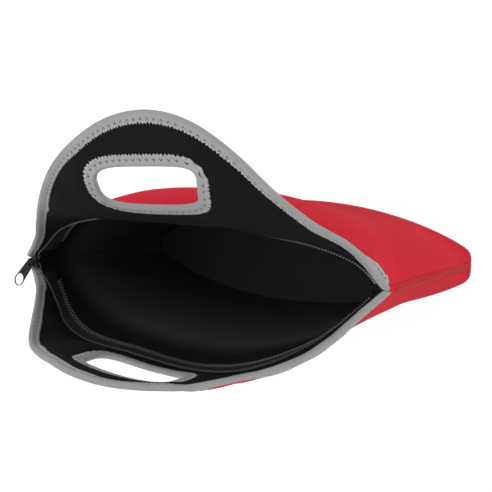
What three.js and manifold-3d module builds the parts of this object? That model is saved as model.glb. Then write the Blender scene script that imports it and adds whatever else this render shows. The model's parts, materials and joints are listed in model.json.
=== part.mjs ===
// Insulated lunch tote: a leaf-shaped base, two padded panels that run up into handle flaps,
// bound edges, and a coil zipper round the mouth, drawn open as it stands with its mouth apart.
// Millimetres, +Z up. The origin is the centre of the base on the floor, the front is -Y and the
// slider stands at the -X end of the mouth.

import * as THREE from 'three';
import { mergeVertices } from 'three/addons/utils/BufferGeometryUtils.js';
import Module from 'manifold-3d';

const wasm = await Module();
wasm.setup();

// Padded laminate: knitted outer skin, foam core and knitted lining
const outerSkin = 1.0;
const foamCore = 2.4;
const liningSkin = 1.0;
const bondGap = 0.3;
const laminate = outerSkin + foamCore + liningSkin + 2 * bondGap;

// The laminate pressed flat under the edge binding, and how far below the binding it is full again
const pressedSkin = 0.5;
const pressedFoam = 0.8;
const pressReach = 7;

// Base leaf, drawn on the middle of the wall laminate
const baseHalfLength = 151.8;
const baseHalfDepth = 45.8;
const baseTipHalfWidth = 9.5;
const baseLeafBelly = 2.1;
const baseLeafShoulder = 0.89;
const baseWallGap = 0.6;
const seamGap = 0.6;

// Zipper line round the mouth, on the middle of the laminate. Each point is its share of the way from
// the middle of the mouth to its end, its place in depth and its height; both sides share the ends
const mouthEndInset = 6.1;
const mouthLeftEnd = [-1, 2.5, 177.6];
const mouthRightEnd = [1.0275, 5.2, 181.9];
const backLip = [
  mouthLeftEnd,
  [-0.765, 28.7, 187.0],
  [-0.423, 39.3, 201.2],
  [-0.003, 40.4, 212.8],
  [0.479, 40.2, 217.4],
  [0.955, 26.5, 210.7],
  mouthRightEnd,
];
const frontLip = [
  mouthLeftEnd,
  [-0.664, -46.6, 196.3],
  [-0.274, -60.2, 191.7],
  [0.078, -63.7, 194.3],
  [0.398, -54.8, 198.7],
  [0.718, -33.4, 194.4],
  mouthRightEnd,
];

// Handle flap above the zipper line, with its hand hole
const flapPeak = 114.7;
const flapCorner = 12.6;
const flapCornerAtRight = 7;
const lowCornerReach = 0.4;
const flapBelly = 2.03;
const flapShoulder = 2.3;
const holeHalfWidth = 36.8;
const holeHalfHeight = 17.2;
const holeSquareness = 3.14;
const gripDepth = 36.4;

// How each flap leans out of the vertical, in radians at its root and at its tip, with v running from
// -1 to 1 along the mouth: [middle, per v, per v2]. Drift is its lean along the mouth and fan the share
// of its own outward direction that each place leans in, both as [middle, per v]
const backFlap = {
  root: [0.26, 0.01, 0.16],
  tip: [1.13, 0.02, -0.64],
  reach: 103.8,
  drift: [0.32, 0.24],
  fan: [0.42, -0.03],
};
const frontFlap = {
  root: [-0.36, 0.45, 0.63],
  tip: [-0.14, -0.04, 0.34],
  reach: 45.0,
  drift: [0.10, -0.05],
  fan: [0.66, 0.32],
};
const rightCornerFlare = 0.25;
const rightCornerBlend = 0.3;
const leftCornerSplay = 0.8;
const leftCornerBlend = 0.2;

// How far each wall swells out, and how high the swell sits
const backWall = { bulge: 21.5, rise: 2.46 };
const frontWall = { bulge: -2.2, rise: 1.0 };

// Fabric binding folded over the raw edges
const edgeBindingWidth = 7;
const edgeBindingCloth = 0.5;
const edgeBindingClearance = 0.55;
const rimClearance = 1.0;
const bindingWidthAtSlider = 5.5;
const bindingWidthAtCorner = 5;
const bindingDrawIn = 0.2;
const holeBindingWidth = 8;
const holeBindingCloth = 0.6;
const holeBindingClearance = 0.5;
const holeCutDepth = 6.5;

// Coil zipper
const tapeWidth = 12;
const tapeThickness = 0.6;
const coilWidth = 2.6;
const coilThickness = 1.8;
const zipperGap = 0.5;
const stopLength = 2.5;
const stopWall = 0.3;
const coilClimb = 4.4;
const climbFrom = 0.75;

// Slider and pull tab
const sliderLength = 9.5;
const sliderShoulderWidth = 9.2;
const sliderTailWidth = 6.2;
const sliderCornerRound = 1.4;
const sliderCornerDraw = 0.8;
const sliderNotch = 0.8;
const sliderPlate = 1.0;
const plateBevel = 0.2;
const sliderChannel = 2.6;
const sliderFlange = 0.8;
const tapeSlot = 1.2;
const dividerWidth = 1.6;
const dividerLength = 3.6;
const dividerSetback = 0.9;
const bridgeLength = 6.4;
const bridgeWidth = 1.6;
const bridgeBar = 1.0;
const sliderFromEnd = 5.2;
const sliderAboveLip = 10.4;
const sliderYaw = 0.12;
const pullLength = 27.5;
const pullWidth = 6.8;
const pullThickness = 1.0;
const pullBearing = 4.086;
const eyeBar = 0.9;
const eyeLength = 4.8;
const eyeWidth = 5.0;
const pullLoopLength = 12.2;
const pullLoopWidth = 10.0;
const pullLoopRim = 1.1;
const pullLoopShoulder = 1.4;
const pullEyeWeb = 1.0;
const pullCornerRound = 0.8;
const pullBevel = 0.15;
const pullClearance = 0.25;

// Mesh fineness
const columns = 24;
const columnsCrowded = 0.3;
const wallShares = [0, 0.25, 0.5, 0.7, 0.85, 1];
const flapRows = 5;
const firstRowAtCorner = 0.55;
const cornerRowsOnly = 8;
const holeSteps = 24;
const coilStepsPerColumn = 2;

const halfLaminate = laminate / 2;
const mouthHalfLength = baseHalfLength - mouthEndInset;
const backLipCurve = lipCurve(backLip);
const frontLipCurve = lipCurve(frontLip);
const halfLip = (backLipCurve.getLength() + frontLipCurve.getLength()) / 4;
const fullFaces = [0, foamCore / 2, foamCore / 2 + bondGap, halfLaminate];
const halfPressed = pressedFoam / 2 + bondGap + pressedSkin;
const pressedFaces = [0, pressedFoam / 2, pressedFoam / 2 + bondGap, halfPressed];
const bindingInner = halfPressed + edgeBindingClearance;
const bindingOuter = bindingInner + edgeBindingCloth;
const rimSetback = edgeBindingCloth + rimClearance;
const holeCentre = flapPeak - gripDepth - holeHalfHeight;
const lipRow = wallShares.length - 1;
const boundRow = lipRow + flapRows;
const zipperEnd = columnAt(columns - 1);
const tapeTop = -coilWidth / 2 - zipperGap;

function smooth(x) {
  return THREE.MathUtils.smoothstep(x, 0, 1);
}

function lerp(a, b, share) {
  return THREE.MathUtils.lerp(a, b, share);
}

function curveOf(terms, v) {
  return terms[0] + terms[1] * v + terms[2] * v * v;
}

// A point of the zipper line, and the curve through several
function lipPoint([share, depth, height]) {
  return new THREE.Vector3(share * mouthHalfLength, depth, height);
}

function lipCurve(points) {
  const curve = new THREE.CatmullRomCurve3(points.map(lipPoint), false, 'centripetal');
  curve.arcLengthDivisions = 600;
  return curve;
}

// Position of a column along the mouth, -1 at the slider to 1 at the far end, closer near the ends
function columnAt(i) {
  const s = (2 * i) / columns - 1;
  return lerp(s, Math.sin((Math.PI / 2) * s), columnsCrowded);
}

// The long edge of the base on one side, from the -X tip to the +X tip, as a path by length
function leafEdge(side) {
  const points = [new THREE.Vector2(-baseHalfLength, 0)];
  const steps = 60;
  for (let k = 0; k <= steps; k += 1) {
    const u = (2 * k) / steps - 1;
    const swell = Math.pow(Math.max(1 - Math.pow(Math.abs(u), baseLeafBelly), 0), baseLeafShoulder);
    const halfWidth = lerp(baseTipHalfWidth, baseHalfDepth, swell);
    points.push(new THREE.Vector2(baseHalfLength * u, side * halfWidth));
  }
  points.push(new THREE.Vector2(baseHalfLength, 0));
  return new THREE.Path(points);
}

// Height of the flap's outer edge above the zipper line
function flapHeight(v) {
  const arch = Math.pow(Math.max(1 - Math.pow(Math.abs(v), flapBelly), 0), flapShoulder);
  const corner = lerp(flapCorner, flapCornerAtRight, smooth((v - 1 + lowCornerReach) / lowCornerReach));
  return lerp(corner, flapPeak, arch);
}

// How much longer an upward distance is than the same distance square to the flap's sloping edge
function edgeSlope(v) {
  const step = 0.01;
  const rise = flapHeight(Math.min(v + step, 1)) - flapHeight(Math.max(v - step, -1));
  const run = (Math.min(v + step, 1) - Math.max(v - step, -1)) * halfLip;
  return Math.hypot(1, rise / run);
}

// Width of the binding, drawn in beside the slider and at the right corner
function boundWidth(v) {
  const full = edgeBindingWidth * edgeSlope(v);
  const end = v < 0 ? bindingWidthAtSlider : bindingWidthAtCorner;
  return lerp(end, full, smooth((1 - Math.abs(v)) / bindingDrawIn));
}

// Height above the zipper line of a row of the flap, the last one where the binding begins
function flapRowHeight(row, v) {
  const even = row / flapRows;
  const atCorner = lerp(firstRowAtCorner, 1, (row - 1) / (flapRows - 1));
  return lerp(even, atCorner, Math.pow(v, cornerRowsOnly)) * (flapHeight(v) - boundWidth(v));
}

// Share of the laminate's thickness that is pressed out at a row of a side, by its distance below the
// binding: all of it under the binding
function pressedAt(row, v) {
  if (row < lipRow) return 0;
  if (row >= boundRow) return 1;
  const height = row === lipRow ? 0 : flapRowHeight(row - lipRow, v);
  const below = (flapHeight(v) - boundWidth(v) - height) / edgeSlope(v);
  return 1 - smooth(below / pressReach);
}

// Depth of a face of a layer, counted from the middle outward and less than nought on the lining's side
function faceDepth(face, pressed) {
  const count = Math.abs(face);
  return Math.sign(face) * lerp(fullFaces[count], pressedFaces[count], pressed);
}

// One side of the tote, as a grid of points on the middle of its laminate from the foot to the rim
function makeSide(side, lip, lean, wall) {
  const foot = leafEdge(side);

  function lipAt(v) {
    return lip.getPointAt((v + 1) / 2);
  }

  function wallPoint(v, w) {
    const base = foot.getPoint((v + 1) / 2);
    const top = lipAt(v);
    const point = new THREE.Vector3(base.x, base.y, 0).lerp(top, w);
    point.y += side * wall.bulge * Math.sin(Math.PI * Math.pow(w, wall.rise)) * (1 - v * v);
    return point;
  }

  // A point on the flap, a distance up its curved face from the zipper line
  function flapPoint(v, distance) {
    const tangent = lip.getTangentAt((v + 1) / 2).setZ(0).normalize();
    const outward = new THREE.Vector3(-tangent.y, tangent.x, 0).multiplyScalar(side);
    const fan = lean.fan[0] + lean.fan[1] * v;
    const away = outward.multiplyScalar(fan).add(new THREE.Vector3(0, side * (1 - fan), 0)).normalize();
    const rootLean = curveOf(lean.root, v);
    const tipLean = curveOf(lean.tip, v);
    const drift = lean.drift[0] + lean.drift[1] * v;
    const rightShare = smooth((v - 1 + rightCornerBlend) / rightCornerBlend);
    const leftShare = smooth((-v - 1 + leftCornerBlend) / leftCornerBlend);
    const right = new THREE.Vector3(Math.sin(rightCornerFlare), 0, Math.cos(rightCornerFlare));
    const left = new THREE.Vector3(0, side * Math.sin(leftCornerSplay), Math.cos(leftCornerSplay));
    const point = lipAt(v);
    const steps = 12;
    for (let k = 0; k < steps; k += 1) {
      const climbed = (distance * (k + 0.5)) / steps;
      const angle = lerp(rootLean, tipLean, smooth(climbed / lean.reach));
      const way = new THREE.Vector3(0, 0, Math.cos(angle)).addScaledVector(away, Math.sin(angle));
      way.x += drift;
      way.normalize().lerp(right, rightShare).lerp(left, leftShare).normalize();
      point.addScaledVector(way, distance / steps);
    }
    return point;
  }

  const rows = [];
  for (const w of wallShares) rows.push((v) => wallPoint(v, w));
  for (let row = 1; row <= flapRows; row += 1) rows.push((v) => flapPoint(v, flapRowHeight(row, v)));
  rows.push((v) => flapPoint(v, flapHeight(v) - rimSetback * edgeSlope(v)));

  const grid = rows.map((rowPoint) => Array.from({ length: columns + 1 }, (_, i) => rowPoint(columnAt(i))));
  return { side, grid, flapPoint, normals: gridNormals(grid, side) };
}

// Outward unit normals of a grid of points; the bottom row's lie flat so that the foot is level
function gridNormals(grid, side) {
  const last = grid.length - 1;
  return grid.map((row, j) => row.map((_, i) => {
    const above = grid[Math.min(j + 1, last)][i];
    const below = grid[Math.max(j - 1, 0)][i];
    const along = new THREE.Vector3().subVectors(row[Math.min(i + 1, columns)], row[Math.max(i - 1, 0)]);
    const normal = new THREE.Vector3().subVectors(above, below).cross(along).multiplyScalar(side);
    if (j === 0) normal.z = 0;
    return normal.normalize();
  }));
}

// Where the two sides meet in a seam, both are thickened along the mitre between them
function mitreEnds(back, front) {
  for (const i of [0, columns]) {
    back.grid.forEach((row, j) => {
      const joined = i === columns || j <= lipRow;
      if (!joined) return;
      const a = back.normals[j][i];
      const b = front.normals[j][i];
      const mitre = new THREE.Vector3().addVectors(a, b).normalize();
      mitre.multiplyScalar(1 / mitre.dot(a));
      if (j === 0) mitre.z = 0;
      back.normals[j][i] = mitre;
      front.normals[j][i] = mitre.clone();
    });
    const inner = i === 0 ? 1 : columns - 1;
    for (const one of [back, front]) {
      one.grid.forEach((row) => {
        const away = new THREE.Vector3().subVectors(row[inner], row[i]).normalize();
        row[i].addScaledVector(away, seamGap / 2);
      });
    }
  }
}

// A point at a column position v and a distance t above the zipper line (below it where negative),
// on the flat facets of the panel, moved outward by depth
function onPanel(one, v, t, depth) {
  let i = 0;
  while (i < columns - 1 && columnAt(i + 1) < v) i += 1;
  const across = (v - columnAt(i)) / (columnAt(i + 1) - columnAt(i));
  const heightOf = (j) => {
    if (j === lipRow) return 0;
    return lerp(flapRowHeight(j - lipRow, columnAt(i)), flapRowHeight(j - lipRow, columnAt(i + 1)), across);
  };
  let j = lipRow;
  let rise;
  if (t < 0) {
    j = lipRow - 1;
    const here = one.grid[lipRow][i].distanceTo(one.grid[j][i]);
    const next = one.grid[lipRow][i + 1].distanceTo(one.grid[j][i + 1]);
    rise = 1 + t / lerp(here, next, across);
  } else {
    while (j < boundRow - 1 && heightOf(j + 1) < t) j += 1;
    rise = (t - heightOf(j)) / (heightOf(j + 1) - heightOf(j));
  }
  const mix = (table) => {
    const low = table[j][i].clone().lerp(table[j][i + 1], across);
    const high = table[j + 1][i].clone().lerp(table[j + 1][i + 1], across);
    return low.lerp(high, rise);
  };
  return mix(one.grid).addScaledVector(mix(one.normals), depth);
}

// A geometry from corners and triangles, turned to face outward
function closedGeometry(corners, triangles) {
  let volume = 0;
  for (let k = 0; k < triangles.length; k += 3) {
    const [a, b, c] = [corners[triangles[k]], corners[triangles[k + 1]], corners[triangles[k + 2]]];
    volume += a.dot(new THREE.Vector3().crossVectors(b, c));
  }
  const geometry = new THREE.BufferGeometry();
  geometry.setFromPoints(corners);
  geometry.setIndex(volume > 0 ? triangles : [...triangles].reverse());
  return geometry;
}

// A body lofted through rings. A ring is a band: the points of its outer path, then those of its
// inner path coming back, equally many. The body closes on itself or ends in flat caps.
function loft(rings, closed) {
  const count = rings[0].length;
  const triangles = [];
  const spans = closed ? rings.length : rings.length - 1;
  const sample = rings[Math.floor(rings.length / 2)];
  for (let r = 0; r < spans; r += 1) {
    const here = r * count;
    const next = ((r + 1) % rings.length) * count;
    for (let k = 0; k < count; k += 1) {
      const after = (k + 1) % count;
      // Faces that lie on each other are split along the same diagonal, from low here to high next
      if (sample[after].z > sample[k].z) {
        triangles.push(here + k, next + k, next + after, here + k, next + after, here + after);
      } else {
        triangles.push(here + k, next + k, here + after, next + k, next + after, here + after);
      }
    }
  }
  if (!closed) {
    const end = (rings.length - 1) * count;
    for (let k = 0; k < count / 2 - 1; k += 1) {
      const [a, b, c, d] = [k, k + 1, count - 2 - k, count - 1 - k];
      triangles.push(a, b, c, a, c, d);
      triangles.push(end + c, end + b, end + a, end + d, end + c, end + a);
    }
  }
  return closedGeometry(rings.flat(), triangles);
}

// A solid for joining and cutting, and its geometry again
function toSolid(geometry) {
  const bare = geometry.clone();
  bare.deleteAttribute('normal');
  bare.deleteAttribute('uv');
  const merged = mergeVertices(bare, 1e-4);
  const vertProperties = new Float32Array(merged.attributes.position.array);
  const triVerts = new Uint32Array(merged.index.array);
  return new wasm.Manifold(new wasm.Mesh({ numProp: 3, vertProperties, triVerts }));
}

function toGeometry(solid) {
  const mesh = solid.getMesh();
  const geometry = new THREE.BufferGeometry();
  geometry.setAttribute('position', new THREE.BufferAttribute(mesh.vertProperties, 3));
  geometry.setIndex(new THREE.BufferAttribute(mesh.triVerts, 1));
  return geometry;
}

function join(geometries) {
  return toGeometry(geometries.map(toSolid).reduce((all, one) => all.add(one)));
}

// Places round the hand hole, a distance out from its open edge, as column position and height
function holePlaces(setback) {
  const places = [];
  const power = 2 / holeSquareness;
  const contour = (angle) => new THREE.Vector2(
    holeHalfWidth * Math.sign(Math.cos(angle)) * Math.pow(Math.abs(Math.cos(angle)), power),
    holeHalfHeight * Math.sign(Math.sin(angle)) * Math.pow(Math.abs(Math.sin(angle)), power),
  );
  for (let k = 0; k < holeSteps; k += 1) {
    const angle = ((k + 0.5) / holeSteps) * 2 * Math.PI;
    const along = new THREE.Vector2().subVectors(contour(angle + 0.05), contour(angle - 0.05)).normalize();
    const place = contour(angle).add(new THREE.Vector2(along.y, -along.x).multiplyScalar(setback));
    places.push([place.x / halfLip, holeCentre + place.y]);
  }
  return places;
}

// The plug that cuts the hand hole through a panel, a little wider than the binding's open edge
function holePlug(one) {
  const reach = halfLaminate + holeCutDepth;
  const places = holePlaces(holeBindingCloth + holeBindingClearance);
  const ends = [reach, -reach].map((depth) => places.map(([v, t]) => onPanel(one, v, t, depth)));
  const middles = [reach, -reach].map((depth) => onPanel(one, 0, holeCentre, depth));
  const corners = [...ends[0], ...ends[1], ...middles];
  const triangles = [];
  for (let k = 0; k < holeSteps; k += 1) {
    const next = (k + 1) % holeSteps;
    triangles.push(k, next, 2 * holeSteps);
    triangles.push(holeSteps + next, holeSteps + k, 2 * holeSteps + 1);
    triangles.push(k, holeSteps + k, next, next, holeSteps + k, holeSteps + next);
  }
  return toSolid(closedGeometry(corners, triangles));
}

// One layer of a panel between two of its faces, from the foot to the rim, with its hand hole
function panelLayer(one, outerFace, innerFace) {
  const at = (j, i, face) => {
    const depth = faceDepth(face, pressedAt(j, columnAt(i)));
    return one.grid[j][i].clone().addScaledVector(one.normals[j][i], depth);
  };
  const rings = [];
  for (let i = 0; i <= columns; i += 1) {
    const outer = one.grid.map((_, j) => at(j, i, outerFace));
    const inner = one.grid.map((_, j) => at(j, i, innerFace));
    rings.push([...outer, ...inner.reverse()]);
  }
  return toGeometry(toSolid(loft(rings, false)).subtract(holePlug(one)));
}

// Binding folded over the flap's outer edge: it follows the panel's own top facets
function edgeBinding(one) {
  const rimRow = one.grid.length - 1;
  const rings = [];
  for (let i = 0; i <= columns; i += 1) {
    const v = columnAt(i);
    const low = (depth) => one.grid[boundRow][i].clone().addScaledVector(one.normals[boundRow][i], depth);
    const rim = one.grid[rimRow][i];
    const normal = one.normals[rimRow][i];
    const rise = new THREE.Vector3().subVectors(rim, one.grid[boundRow][i]).normalize();
    const high = (beyond, depth) => rim.clone().addScaledVector(rise, beyond * edgeSlope(v))
      .addScaledVector(normal, depth);
    rings.push([
      low(bindingOuter), high(rimSetback, bindingOuter),
      high(rimSetback, -bindingOuter), low(-bindingOuter),
      low(-bindingInner), high(rimClearance, -bindingInner),
      high(rimClearance, bindingInner), low(bindingInner),
    ]);
  }
  return loft(rings, false);
}

// Binding folded over the edge of the hand hole
function holeBinding(one) {
  const inner = halfLaminate + holeBindingClearance;
  const outer = inner + holeBindingCloth;
  const setbacks = [0, holeBindingCloth, holeBindingWidth / 2, holeBindingWidth];
  const [edge, web, middle, end] = setbacks.map(holePlaces);
  const rings = edge.map((_, k) => {
    const at = (places, depth) => onPanel(one, places[k][0], places[k][1], depth);
    return [
      at(end, outer), at(middle, outer), at(edge, outer),
      at(edge, -outer), at(middle, -outer), at(end, -outer),
      at(end, -inner), at(middle, -inner), at(web, -inner),
      at(web, inner), at(middle, inner), at(end, inner),
    ];
  });
  return loft(rings, true);
}

// How far the zipper stands above its line: it climbs to the slider over the last of the mouth
function climbAt(v) {
  return coilClimb * Math.pow(Math.max(0, (-v - climbFrom) / (zipperEnd - climbFrom)), 2);
}

// A strip along the lining between two heights off the zipper line and two depths off the lining,
// in rings of six points: down its face on the lining, up its open face. A strip that straddles the
// zipper line bends there.
function liningRing(one, v, top, bottom, thickness) {
  const climb = climbAt(v);
  const high = top + climb;
  const low = bottom + climb;
  const shortest = 0.5;
  const middle = high > shortest && low < -shortest ? 0 : (high + low) / 2;
  const at = (t, depth) => onPanel(one, v, t, -(halfLaminate + zipperGap + depth));
  return [
    at(high, 0), at(middle, 0), at(low, 0),
    at(low, thickness), at(middle, thickness), at(high, thickness),
  ];
}

function liningStrip(one, top, bottom, thickness, stepsPerColumn) {
  const rings = [];
  for (let i = 1; i < columns - 1; i += 1) {
    for (let k = 0; k < stepsPerColumn; k += 1) {
      const v = lerp(columnAt(i), columnAt(i + 1), k / stepsPerColumn);
      rings.push(liningRing(one, v, top, bottom, thickness));
    }
  }
  rings.push(liningRing(one, zipperEnd, top, bottom, thickness));
  return rings;
}

function zipperTape(one) {
  return loft(liningStrip(one, tapeTop, tapeTop - tapeWidth, tapeThickness, 2), false);
}

// The coil's end where it enters the mouth of the slider, lying flat, its tape side outward
function throatRing(one) {
  const middle = dividerWidth / 2 + coilWidth / 2 + zipperGap;
  const at = (across, lift) => {
    const point = new THREE.Vector3(sliderLength / 2 + zipperGap, one.side * (middle + across), lift);
    return slider.localToWorld(point);
  };
  const half = coilWidth / 2;
  const lift = coilThickness / 2;
  return [at(-half, lift), at(0, lift), at(half, lift), at(half, -lift), at(0, -lift), at(-half, -lift)];
}

function zipperCoil(one) {
  const half = coilWidth / 2;
  const rings = liningStrip(one, half, -half, coilThickness, coilStepsPerColumn);
  return loft([throatRing(one), ...rings], false);
}

// Crimped stop closing the far end of a coil
function topStop(one) {
  const half = coilWidth / 2 + stopWall;
  const start = zipperEnd + zipperGap / halfLip;
  const ends = [start, start + stopLength / halfLip];
  return loft(ends.map((v) => liningRing(one, v, half, -half, coilThickness + stopWall)), false);
}

// One layer of the base between two heights, kept clear of the feet of the walls
function baseLayer(bottom, top) {
  const inset = halfLaminate + baseWallGap;
  const edge = leafEdge(1);
  const half = [];
  const steps = 24;
  for (let k = 0; k <= steps; k += 1) {
    const here = edge.getPoint(k / steps);
    const before = edge.getPoint(Math.max(k / steps - 0.01, 0));
    const after = edge.getPoint(Math.min(k / steps + 0.01, 1));
    const along = new THREE.Vector2().subVectors(after, before).normalize();
    half.push(new THREE.Vector2(here.x + along.y * inset, here.y - along.x * inset));
  }
  half[0].y = 0;
  half[steps].y = 0;
  const other = half.slice(1, -1).reverse().map((point) => new THREE.Vector2(point.x, -point.y));
  const geometry = new THREE.ExtrudeGeometry(new THREE.Shape([...half, ...other]), {
    depth: top - bottom,
    bevelEnabled: false,
  });
  return geometry.translate(0, 0, bottom);
}

// Slider, in its own frame: +X is the mouth that the two coils enter, the tapes leave at +Y and -Y

// Half the width of the slider's body at a place along it
function sliderHalfWidth(x) {
  const share = smooth((x + sliderLength * 0.2) / (sliderLength * 0.45));
  return lerp(sliderTailWidth, sliderShoulderWidth, share) / 2;
}

function sliderEdge(inset) {
  const steps = 8;
  const half = sliderLength / 2;
  const round = sliderCornerRound;
  const points = [];
  for (let k = 0; k <= steps; k += 1) {
    const x = -half * Math.cos((Math.PI * k) / steps);
    const fromEnd = Math.min(half - Math.abs(x), round);
    const drawIn = round - Math.sqrt(round * round - (round - fromEnd) * (round - fromEnd));
    points.push(new THREE.Vector2(x, sliderHalfWidth(x) - sliderCornerDraw * drawIn - inset));
  }
  return points;
}

// One of the two plates, with the notch in its mouth
function plate(bottom) {
  const half = sliderEdge(0);
  const notch = new THREE.Vector2(sliderLength / 2 - sliderNotch, 0);
  const other = half.map((point) => new THREE.Vector2(point.x, -point.y)).reverse();
  const geometry = new THREE.ExtrudeGeometry(new THREE.Shape([...half, notch, ...other]), {
    depth: sliderPlate - 2 * plateBevel,
    bevelThickness: plateBevel,
    bevelSize: plateBevel,
    bevelOffset: -plateBevel,
    bevelSegments: 1,
  });
  return geometry.translate(0, 0, bottom + plateBevel);
}

// A rail along one edge of a plate, set in past the plate's bevel, that keeps the coil in
function flange(side, bottom, height) {
  const inset = plateBevel / 2;
  const outer = sliderEdge(inset).slice(2, -2);
  const inner = sliderEdge(sliderFlange + inset).slice(2, -2).reverse();
  const outline = [...outer, ...inner].map((point) => new THREE.Vector2(point.x, side * point.y));
  const settings = { depth: height, bevelEnabled: false };
  const geometry = new THREE.ExtrudeGeometry(new THREE.Shape(outline), settings);
  return geometry.translate(0, 0, bottom);
}

// Wedge between the plates that parts the coils
function divider() {
  const tip = sliderLength / 2 - dividerSetback;
  const widest = tip - dividerLength * 0.35;
  const shape = new THREE.Shape();
  shape.moveTo(tip, 0);
  shape.lineTo(widest, dividerWidth / 2);
  shape.lineTo(tip - dividerLength, 0);
  shape.lineTo(widest, -dividerWidth / 2);
  const depth = sliderChannel + sliderPlate;
  const geometry = new THREE.ExtrudeGeometry(shape, { depth, bevelEnabled: false });
  return geometry.translate(0, 0, -depth / 2);
}

const plateTop = sliderChannel / 2 + sliderPlate;
const bridgeWindow = pullThickness + 2 * pullClearance;

// Arched bridge on the upper plate that holds the pull tab
function bridge() {
  const half = bridgeLength / 2;
  const rise = bridgeWindow + bridgeBar;
  const sunk = 0.3;
  const shape = new THREE.Shape();
  shape.moveTo(-half, -sunk);
  shape.lineTo(-half, rise * 0.45);
  shape.quadraticCurveTo(-half, rise, -half * 0.35, rise);
  shape.lineTo(half * 0.35, rise);
  shape.quadraticCurveTo(half, rise, half, rise * 0.45);
  shape.lineTo(half, -sunk);
  shape.lineTo(half - bridgeBar, -sunk);
  shape.lineTo(half - bridgeBar, bridgeWindow * 0.7);
  shape.quadraticCurveTo(half - bridgeBar, bridgeWindow, half * 0.3, bridgeWindow);
  shape.lineTo(-half * 0.3, bridgeWindow);
  shape.quadraticCurveTo(bridgeBar - half, bridgeWindow, bridgeBar - half, bridgeWindow * 0.7);
  shape.lineTo(bridgeBar - half, -sunk);
  const geometry = new THREE.ExtrudeGeometry(shape, {
    depth: bridgeWidth,
    bevelEnabled: false,
    curveSegments: 4,
  });
  return geometry.rotateX(Math.PI / 2).translate(0, bridgeWidth / 2, plateTop);
}

function sliderBody() {
  const flangeHeight = (sliderChannel - tapeSlot) / 2;
  const overlap = 0.3;
  const pieces = [plate(sliderChannel / 2), plate(-plateTop), divider(), bridge()];
  for (const side of [1, -1]) {
    pieces.push(flange(side, tapeSlot / 2, flangeHeight + overlap));
    pieces.push(flange(side, -tapeSlot / 2 - flangeHeight - overlap, flangeHeight + overlap));
  }
  return join(pieces);
}

// Pull tab, in its own frame: the middle of its eye bar is the origin, the tab runs along +X
function pullTab() {
  const half = pullWidth / 2;
  const root = -eyeBar / 2;
  const eyeHalf = eyeWidth / 2;
  const eyeOutside = eyeHalf + eyeBar;
  const neck = eyeLength + pullEyeWeb;
  const loopCentre = pullLength - pullLoopLength / 2;
  const loopStart = loopCentre - pullLoopLength / 2;
  const shoulder = loopStart + pullLoopShoulder;
  const round = pullCornerRound;
  const shape = new THREE.Shape();
  shape.moveTo(root + round, -eyeOutside);
  shape.lineTo(neck, -half);
  shape.lineTo(loopStart, -half);
  shape.quadraticCurveTo(shoulder, -pullLoopWidth / 2, loopCentre, -pullLoopWidth / 2);
  shape.absellipse(loopCentre, 0, pullLoopLength / 2, pullLoopWidth / 2, -Math.PI / 2, Math.PI / 2, false);
  shape.quadraticCurveTo(shoulder, pullLoopWidth / 2, loopStart, half);
  shape.lineTo(neck, half);
  shape.lineTo(root + round, eyeOutside);
  shape.quadraticCurveTo(root, eyeOutside, root, eyeOutside - round);
  shape.lineTo(root, -eyeOutside + round);
  shape.quadraticCurveTo(root, -eyeOutside, root + round, -eyeOutside);
  const eye = new THREE.Path();
  eye.moveTo(eyeBar / 2, -eyeHalf);
  eye.lineTo(eyeBar / 2, eyeHalf);
  eye.lineTo(eyeLength, eyeHalf);
  eye.lineTo(eyeLength, -eyeHalf);
  const loop = new THREE.Path();
  const loopHalf = [pullLoopLength / 2 - pullLoopRim, pullLoopWidth / 2 - pullLoopRim];
  loop.absellipse(loopCentre, 0, loopHalf[0], loopHalf[1], 0, 2 * Math.PI, true);
  shape.holes.push(eye, loop);
  const geometry = new THREE.ExtrudeGeometry(shape, {
    depth: pullThickness - 2 * pullBevel,
    bevelThickness: pullBevel,
    bevelSize: pullBevel,
    bevelOffset: -pullBevel,
    bevelSegments: 1,
    curveSegments: 8,
  });
  return toGeometry(toSolid(geometry.translate(0, 0, -pullThickness / 2 + pullBevel)));
}

function material(color, roughness, metalness) {
  return new THREE.MeshStandardMaterial({ color, roughness, metalness, flatShading: true });
}

const redKnit = material(0xbf2a37, 0.85, 0);
const foamRubber = material(0x3a3a3c, 0.9, 0);
const blackKnit = material(0x1b1b1c, 0.85, 0);
const greyBinding = material(0xa3a3a3, 0.8, 0);
const blackTape = material(0x161616, 0.8, 0);
const coilNylon = material(0x242424, 0.5, 0);
const blackMetal = material(0x1c1c1e, 0.45, 0.7);

const bag = new THREE.Group();

function place(name, geometry, look, parent = bag) {
  const mesh = new THREE.Mesh(geometry, look);
  mesh.name = name;
  parent.add(mesh);
  return mesh;
}

// The slider stands in the notch between the two flaps at the left corner
const slider = new THREE.Group();
slider.position.copy(lipPoint(mouthLeftEnd)).add(new THREE.Vector3(sliderFromEnd, 0, sliderAboveLip));
slider.rotation.z = sliderYaw;
slider.updateMatrixWorld();
bag.add(slider);
place('slider_body', sliderBody(), blackMetal, slider);

// The tab's eye goes round the rear leg of the bridge, its bar through the bridge's window
const pull = new THREE.Group();
const pullTurn = pullBearing - sliderYaw;
const skew = pullTurn - Math.PI;
const legAlong = (bridgeBar * Math.cos(skew) + bridgeWidth * Math.sin(skew)) / 2;
const legAcross = (bridgeBar * Math.sin(skew) + bridgeWidth * Math.cos(skew)) / 2;
const legToBar = (eyeBar / 2 + pullClearance + legAlong) / Math.cos(skew);
const barAcross = (bridgeWidth / 2 + (pullThickness / 2) * Math.sin(skew)) / Math.cos(skew);
const eyeShift = (legToBar * Math.sin(skew) + legAcross - barAcross) / 2;
pull.position.set(
  -bridgeLength / 2 + bridgeBar / 2 + legToBar - eyeShift * Math.sin(skew),
  eyeShift * Math.cos(skew),
  plateTop + bridgeWindow / 2,
);
pull.rotation.z = pullTurn;
slider.add(pull);
place('pull_tab', pullTab(), blackMetal, pull);

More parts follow.
